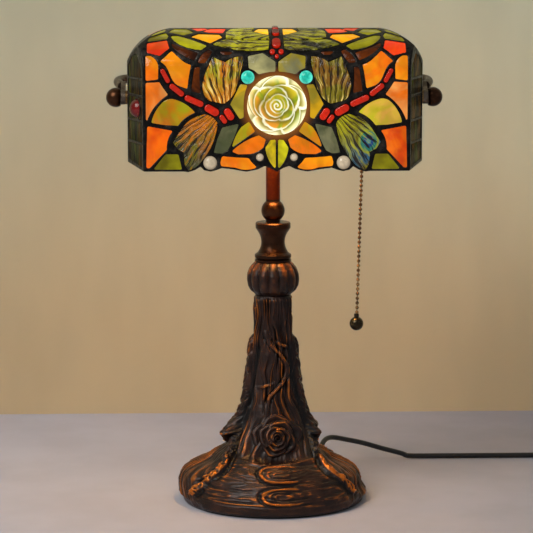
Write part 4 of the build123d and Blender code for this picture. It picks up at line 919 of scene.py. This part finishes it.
def foot():
    """The carved foot: bark on the trunk, wood grain with knots on the base, and leaf pads at both sides."""
    radius, height, run = (line[:, None] for line in foot_profile())
    angle = np.linspace(-PI, PI, FOOT_COLUMNS, endpoint=False)[None, :]
    across = radius * np.sin(angle)
    front = step_up(np.cos(angle), 0.0, 0.25)
    out_r, out_z = radius + 0 * angle, height + 0 * angle
    covered = np.zeros_like(out_r)
    for side in (-1, 1):
        reach, cover = side_work(angle, height, radius, side)
        out_r = out_r + reach
        covered = np.maximum(covered, cover)
    open_part = 1 - covered
    low_part = step_up(height, 8, 12) * step_up(height, 46, 40)
    carving = bark(angle, height) * BARK_RISE * step_up(height, 40, 50) * open_part
    carving = carving + wood(angle, height, run, across) * GRAIN_RISE * low_part * open_part
    carving = carving + knot_loops(angle, height, across, run) * low_part
    hollow = blob(np.abs(across) - table(HOLLOW, height), HOLLOW_R) * front
    hollow = hollow * step_up(height, 26, 34) * step_up(height, 150, 138)
    carving = carving - HOLLOW_CUT * hollow
    stalk = dome(np.abs(across) - table(STALK, height), STALK_R)
    stalk = stalk * front * step_up(height, 10, 15) * step_up(height, 74, 60)
    knobbly = 1 + 0.7 * ridged(angle, height, 31, 150, 2.6)
    carving = carving * (1 - 0.7 * stalk) + STALK_RISE * stalk * knobbly
    vine, vine_cut = vine_work(across, height, front)
    carving = carving * (1 - 0.8 * vine) + VINE_RISE * vine - vine_cut
    root_lip = height - ROOT_LIP_Z - 1.5 * lattice_noise(angle, height, 17, 12, 40)
    lips = blob(height - RIM_LIP_Z, 1.3) + 1.3 * blob(root_lip, 1.2) * front
    carving = carving + LIP_RISE * lips * (0.6 + 0.8 * lattice_noise(angle, height, 16, 9, 30)) * open_part
    under_rose = np.exp(-(((across - 6) / 22) ** 2) - ((height - 46) / 5.0) ** 2) * front
    carving = (carving - ROSE_CUT * under_rose) * step_up(run, 12, 22) * step_up(height, 186.6, 183)
    slope_r, slope_z = np.gradient(radius[:, 0])[:, None], np.gradient(height[:, 0])[:, None]
    length = np.hypot(slope_r, slope_z)
    out_r = out_r + carving * slope_z / length
    out_z = np.clip(out_z - carving * slope_r / length, FOOT_FLOOR + 0.05, FOOT_TOP - 0.05)
    proud = out_r - smoothed(out_r, *RUB_BLUR)
    carved_proud = carving - smoothed(carving, *RUB_BLUR)
    ridge = 0.36 + 0.20 * proud + (0.20 + 0.22 * low_part) * carved_proud
    # Painted shade: the hollow beside each leaf strand is made darker than the rubbed finish round it
    ridge = ridge + 0.10 * covered + 0.06 * low_part - 0.5 * hollow - 0.24 * stalk
    out_r = np.vstack([out_r, np.full((1, FOOT_COLUMNS), NECK_HOLE_R)])
    out_z = np.vstack([out_z, np.full((1, FOOT_COLUMNS), FOOT_TOP - 0.1)])
    ridge = np.clip(np.vstack([ridge, ridge[-1:]]), 0, 1)
    points = np.stack([out_r * np.sin(angle), -out_r * np.cos(angle), out_z], axis=-1)
    mesh = grid_mesh("carved_foot", points, ridge)
    return smooth_object("carved_foot", mesh, "lamp", bronze, "foot_casting", "foot_casting")


# The carved rose: rings of petals as (count, lip radius, lip height, turn), in millimetres and radians
BLOOM_AT = Vector((2.5, -32.5, 61.0))
BLOOM_TILT = math.radians(14)
BLOOM_RINGS = [
    (5, 21.5, 3.0, 0.35), (4, 16.0, 8.5, 1.1), (3, 10.8, 13.0, 0.2), (2, 6.6, 16.0, 1.4),
]
BLOOM_GRID = (110, 300)
# Where the ground under the bloom lies, and a height below anything where a petal has no part
BLOOM_GROUND, NO_PETAL = -6.0, -40.0


def petal_height(reach, turn, count, lip, rise, start, index):
    """One petal as a height field: it dishes up to its lobed lip, rolls over, and drops away steeply."""
    swing = (turn - start - 2 * PI * index / count + PI) % (2 * PI) - PI
    share = swing / (1.45 * PI / count)
    edge = lip * (1.0 - 0.24 * share**2 + 0.02 * np.sin(7 * turn + index)) + 0.06 * lip * blob(share, 0.15)
    inside = np.clip(reach / edge, 0, 1)
    dish = rise - 3.2 + 3.2 * inside**2.2 + 1.6 * share
    roll = -1.1 * np.maximum(inside - 0.90, 0) / 0.10
    beyond = np.maximum(reach - edge, 0)
    height = dish + roll - 5.0 * beyond
    return np.where(np.abs(share) < 1, height, NO_PETAL), blob(reach - edge * 0.93, 1.3)


def carved_rose():
    """The rose on the front of the foot: overlapping petals round a wound bud."""
    rows, columns = BLOOM_GRID
    reach = np.linspace(0, BLOOM_RINGS[0][1] + 2.5, rows)[:, None]
    turn = np.linspace(0, 2 * PI, columns, endpoint=False)[None, :]
    height = np.full((rows, columns), BLOOM_GROUND)
    ridge = np.full((rows, columns), 0.12)
    patch = 0.80 + 0.55 * lattice_noise(turn, reach, 33, 9, 14)
    for count, lip, rise, start in BLOOM_RINGS:
        for index in range(count):
            petal, lit = petal_height(reach, turn, count, lip, rise, start, index)
            ridge = np.where(petal > height, 0.14 + 0.66 * lit * patch, ridge)
            height = np.maximum(height, petal)
    coil = np.sin(2 * PI * reach / 2.2 - turn)
    bud = step_up(reach, 4.9, 3.9)
    height = height + bud * (0.9 * coil + 2.2 - 0.06 * reach**2)
    ridge = ridge + bud * 0.16 * coil
    forward = Vector((0, -math.cos(BLOOM_TILT), math.sin(BLOOM_TILT)))
    up = Vector((0, math.sin(BLOOM_TILT), math.cos(BLOOM_TILT)))
    x = BLOOM_AT.x + reach * np.cos(turn)
    y = BLOOM_AT.y + up.y * reach * np.sin(turn) + forward.y * height
    z = BLOOM_AT.z + up.z * reach * np.sin(turn) + forward.z * height
    mesh = grid_mesh("carved_rose", np.stack([x, y, z], axis=-1), np.clip(ridge, 0, 1))
    return smooth_object("carved_rose", mesh, "lamp", bronze, "foot_casting")


bronze = rubbed_bronze("rubbed_bronze")
foot()
carved_rose()

# ---------------- melon
MELON_LOBES = 14
MELON_ROWS = 90
COLUMNS_PER_LOBE = 24
# The melon's outline as (share of its height, share of its radius)
MELON_PROFILE = [
    (0.0, 0.66), (0.04, 0.72), (0.14, 0.87), (0.28, 0.965), (0.45, 1.0), (0.62, 0.985), (0.78, 0.91),
    (0.90, 0.79), (0.97, 0.69), (1.0, 0.64),
]


def melon():
    """The fluted swelling of the stem."""
    columns = MELON_LOBES * COLUMNS_PER_LOBE
    share = np.linspace(0, 1, MELON_ROWS)[:, None]
    turn = np.linspace(0, 2 * PI, columns, endpoint=False)[None, :]
    width = np.interp(share, *np.array(MELON_PROFILE).T)
    lobe = np.abs(np.sin(0.5 * MELON_LOBES * turn + 0.25 * (share - 0.5)))
    depth = 0.135 * np.sin(PI * np.clip(share, 0.03, 0.97)) ** 0.6
    radius = MELON_R * width * (1 - depth * (1 - lobe**0.55))
    height = MELON_Z[0] + share * (MELON_Z[1] - MELON_Z[0]) + 0 * turn
    top = np.full((1, columns), MELON_Z[1])
    radius = np.vstack([radius, np.full((1, columns), NECK_HOLE_R)])
    height = np.vstack([height, top])
    # Rubbed copper on the lobes is wear; its rise towards the top (0.78 + 0.36 * share) is painted light from
    # the bulb above
    ridge = np.vstack([0.60 * lobe**0.32 * (0.78 + 0.36 * share), np.full((1, columns), 0.2)])
    points = np.stack([radius * np.cos(turn), radius * np.sin(turn), height], axis=-1)
    mesh = grid_mesh("fluted_melon", points, ridge)
    return smooth_object("fluted_melon", mesh, "lamp", bronze, "stem_melon", "stem_melon")


melon()

# ---------------- plain CAD pieces and their finishes
BULB_POWER = 60.0
BULB_TINT = (1.0, 0.52, 0.16)


def lit_bulb(name):
    """Frosted bulb glass, lit warm from within."""
    tree = Tree(name)
    frost = tree.noise(tree.place(), 300, 3, 0.6)
    facing = tree.node("ShaderNodeLayerWeight", Blend=0.3).outputs["Facing"]
    strength = tree.ramp(facing, 0.0, 1.0, BULB_POWER, BULB_POWER * 0.8)
    return tree.surface(
        Base_Color=(0.9, 0.82, 0.66), Roughness=tree.ramp(frost, 0.3, 0.7, 0.35, 0.55),
        Emission_Color=BULB_TINT, Emission_Strength=strength, Normal=tree.bump(frost, 0.0003, 0.2),
    )


def finish(material, *members):
    """Gives CAD nodes their material."""
    for member in members:
        dress(nodes[member], material)


finish(
    metal("dark_bronze", (0.040, 0.016, 0.007), (0.070, 0.026, 0.009), 0.85, (0.27, 0.36), 60, relief=0.1),
    "stem_ball", "stem_spool", "knob_left", "knob_right", "yoke_hub", "back_rail", "end_bearings",
)
# The stem tube's red bronze is partly its finish and partly painted light: the orange that the bulb throws
# down on it
finish(metal("red_bronze", (0.15, 0.020, 0.003), (0.24, 0.038, 0.004), roughness=(0.30, 0.46)), "stem_tube")
grey_bronze = metal("worn_grey_bronze", (0.10, 0.075, 0.055), (0.24, 0.19, 0.14), roughness=(0.30, 0.5))
finish(grey_bronze, "yoke_bow", "yoke_eyes")
finish(
    metal("aged_brass", (0.16, 0.085, 0.030), (0.42, 0.26, 0.10), roughness=(0.24, 0.45)),
    "thrust_washers", "pivot_nipple", "pivot_stud", "lock_nuts", "socket_shell", "socket_cap",
    "screw_shell", "centre_contact", "chain_guide", "plug_blades",
)
finish(
    metal("antique_chain_brass", (0.10, 0.050, 0.020), (0.46, 0.25, 0.09), roughness=(0.2, 0.38), scale=260),
    "chain_head", "chain_link", "chain_beads",
)
dull = metal("tarnished_brass", (0.035, 0.026, 0.012), (0.13, 0.09, 0.04), roughness=(0.16, 0.3), scale=90)
finish(dull, "chain_ball")
finish(
    metal("zinc_steel", (0.30, 0.30, 0.29), (0.52, 0.51, 0.48), roughness=(0.3, 0.5)),
    "threaded_rod", "foot_nut", "foot_washer", "switch_lever", "bottom_cover",
)
finish(metal("dark_steel", (0.08, 0.075, 0.07), (0.16, 0.15, 0.14)), "hub_screw")
cast_iron = metal("cast_iron", (0.04, 0.036, 0.034), (0.09, 0.08, 0.075), 0.6, (0.5, 0.75), relief=0.8)
finish(cast_iron, "foot_weight")
aluminium = metal("bulb_cap_aluminium", (0.45, 0.44, 0.42), (0.66, 0.65, 0.62), roughness=(0.22, 0.4))
finish(aluminium, "bulb_cap")
black_vinyl = plain("black_vinyl", (0.004, 0.004, 0.004), (0.010, 0.010, 0.010), 0.36)
finish(black_vinyl, "power_cord", "plug_body", "cord_bushing", "stem_cord")
felt = plain("dark_felt", (0.020, 0.026, 0.022), (0.045, 0.055, 0.048), 0.95, 500, 0.6, 0.9)
finish(felt, "felt_pad")
finish(plain("socket_porcelain", (0.70, 0.67, 0.60), (0.80, 0.78, 0.72), 0.45), "socket_body")
finish(plain("socket_fibre", (0.035, 0.030, 0.026), (0.07, 0.06, 0.05), 0.8), "socket_insulator")
finish(plain("bulb_stem", (0.8, 0.75, 0.65), (0.9, 0.86, 0.78), 0.3), "bulb_mount")
finish(lit_bulb("lit_bulb_glass"), "bulb_glass")

# ---------------- floor, wall, light and camera
TABLE_EDGE = 0.385
WALL_TINTS = ((0.55, 0.440, 0.265), (0.56, 0.54, 0.38))
FLOOR_TINT = (0.51, 0.51, 0.59)
# How much brighter the right of the wall and of the floor is painted than the left (below 1 is darker):
# painted light and shade
WALL_RIGHT_GAIN, FLOOR_RIGHT_GAIN = 1.24, 0.78
FAR = 4.0
WALL_TOP = 3.0


def stage_plane(name, corners, material):
    """A flat piece of the surroundings."""
    mesh = bpy.data.meshes.new(name)
    mesh.from_pydata(corners, [], [(0, 1, 2, 3)])
    thing = placed(name, mesh)
    dress(thing, material)


def matt(name, low_tint, high_tint, right_gain, see_through_back=False):
    """A matt surface with one tint low down and another higher up, with painted light or shade making it
    lighter or darker towards the right.
    """
    tree = Tree(name)
    place = tree.place()
    weave = tree.noise(tree.stretched(place, (1, 1, 0.35)), 9, 3, 0.6)
    tint = tree.mix(tree.ramp(tree.split(place)[2], 0.05, 0.42), low_tint, high_tint)
    cloud = tree.ramp(weave, 0.3, 0.7, 0.93, 1.04)
    # Painted light and shade across the surface from left to right
    painted_side_light = tree.ramp(tree.split(place)[0], -0.3, 0.35, 1.0, right_gain)
    tint = tree.vector("SCALE", tint, scale=tree.times(cloud, painted_side_light))
    material = tree.surface(Base_Color=tint, Roughness=0.85)
    if see_through_back:
        out = next(node for node in tree.tree.nodes if node.type == "OUTPUT_MATERIAL")
        solid = out.inputs["Surface"].links[0].from_socket
        choice = tree.node("ShaderNodeMixShader")
        tree.plug(choice.inputs[0], tree.node("ShaderNodeNewGeometry").outputs["Backfacing"])
        tree.plug(choice.inputs[1], solid)
        tree.plug(choice.inputs[2], tree.node("ShaderNodeBsdfTransparent").outputs[0])
        tree.plug(out.inputs["Surface"], choice.outputs[0])
    return material


stage_plane(
    "floor", [(x, y, 0) for x, y in ((-FAR, -FAR), (FAR, -FAR), (FAR, FAR), (-FAR, FAR))],
    matt("floor_matt", FLOOR_TINT, FLOOR_TINT, FLOOR_RIGHT_GAIN),
)
stage_plane(
    "wall", [(x, TABLE_EDGE, z) for x, z in ((-FAR, 0), (FAR, 0), (FAR, WALL_TOP), (-FAR, WALL_TOP))],
    matt("wall_matt", *WALL_TINTS, WALL_RIGHT_GAIN, see_through_back=True),
)


def soft_light(name, place, aim, size, power, tint):
    """A square area light that points at a place on the lamp."""
    data = bpy.data.lights.new(name, "AREA")
    data.size = size
    data.energy = power
    data.color = tint
    thing = placed(name, data)
    thing.location = place
    thing.rotation_mode = "QUATERNION"
    thing.rotation_quaternion = (Vector(aim) - Vector(place)).to_track_quat("-Z", "Y")


soft_light("key", (-1.3, -1.5, 1.9), (0, 0, 0.2), 1.4, 44, (1.0, 0.97, 0.92))
soft_light("fill", (1.7, -1.2, 1.1), (0, 0, 0.2), 1.2, 1, (0.95, 0.97, 1.0))

world = bpy.data.worlds.new("studio")
world.use_nodes = True
world.node_tree.nodes["Background"].inputs["Color"].default_value = (0.92, 0.94, 1.0, 1)
world.node_tree.nodes["Background"].inputs["Strength"].default_value = 0.22
bpy.context.scene.world = world

# The camera stands a little to the left of the lamp and looks down on it
CAMERA_AWAY = 2.2
CAMERA_UP = 0.528
CAMERA_SIDE = math.radians(-2.0)
CAMERA_DOWN = math.radians(8.18)
FIELD_OF_VIEW = math.radians(12.25)
AXIS_SHIFT = -0.0122

camera = placed("camera", bpy.data.cameras.new("camera"))
camera.location = (CAMERA_AWAY * math.sin(CAMERA_SIDE), -CAMERA_AWAY * math.cos(CAMERA_SIDE), CAMERA_UP)
camera.rotation_euler = (PI / 2 - CAMERA_DOWN, 0, CAMERA_SIDE)
camera.data.angle = FIELD_OF_VIEW
camera.data.shift_x = AXIS_SHIFT
camera.data.clip_end = 50
bpy.context.scene.camera = camera
bpy.context.scene.view_settings.view_transform = "Standard"
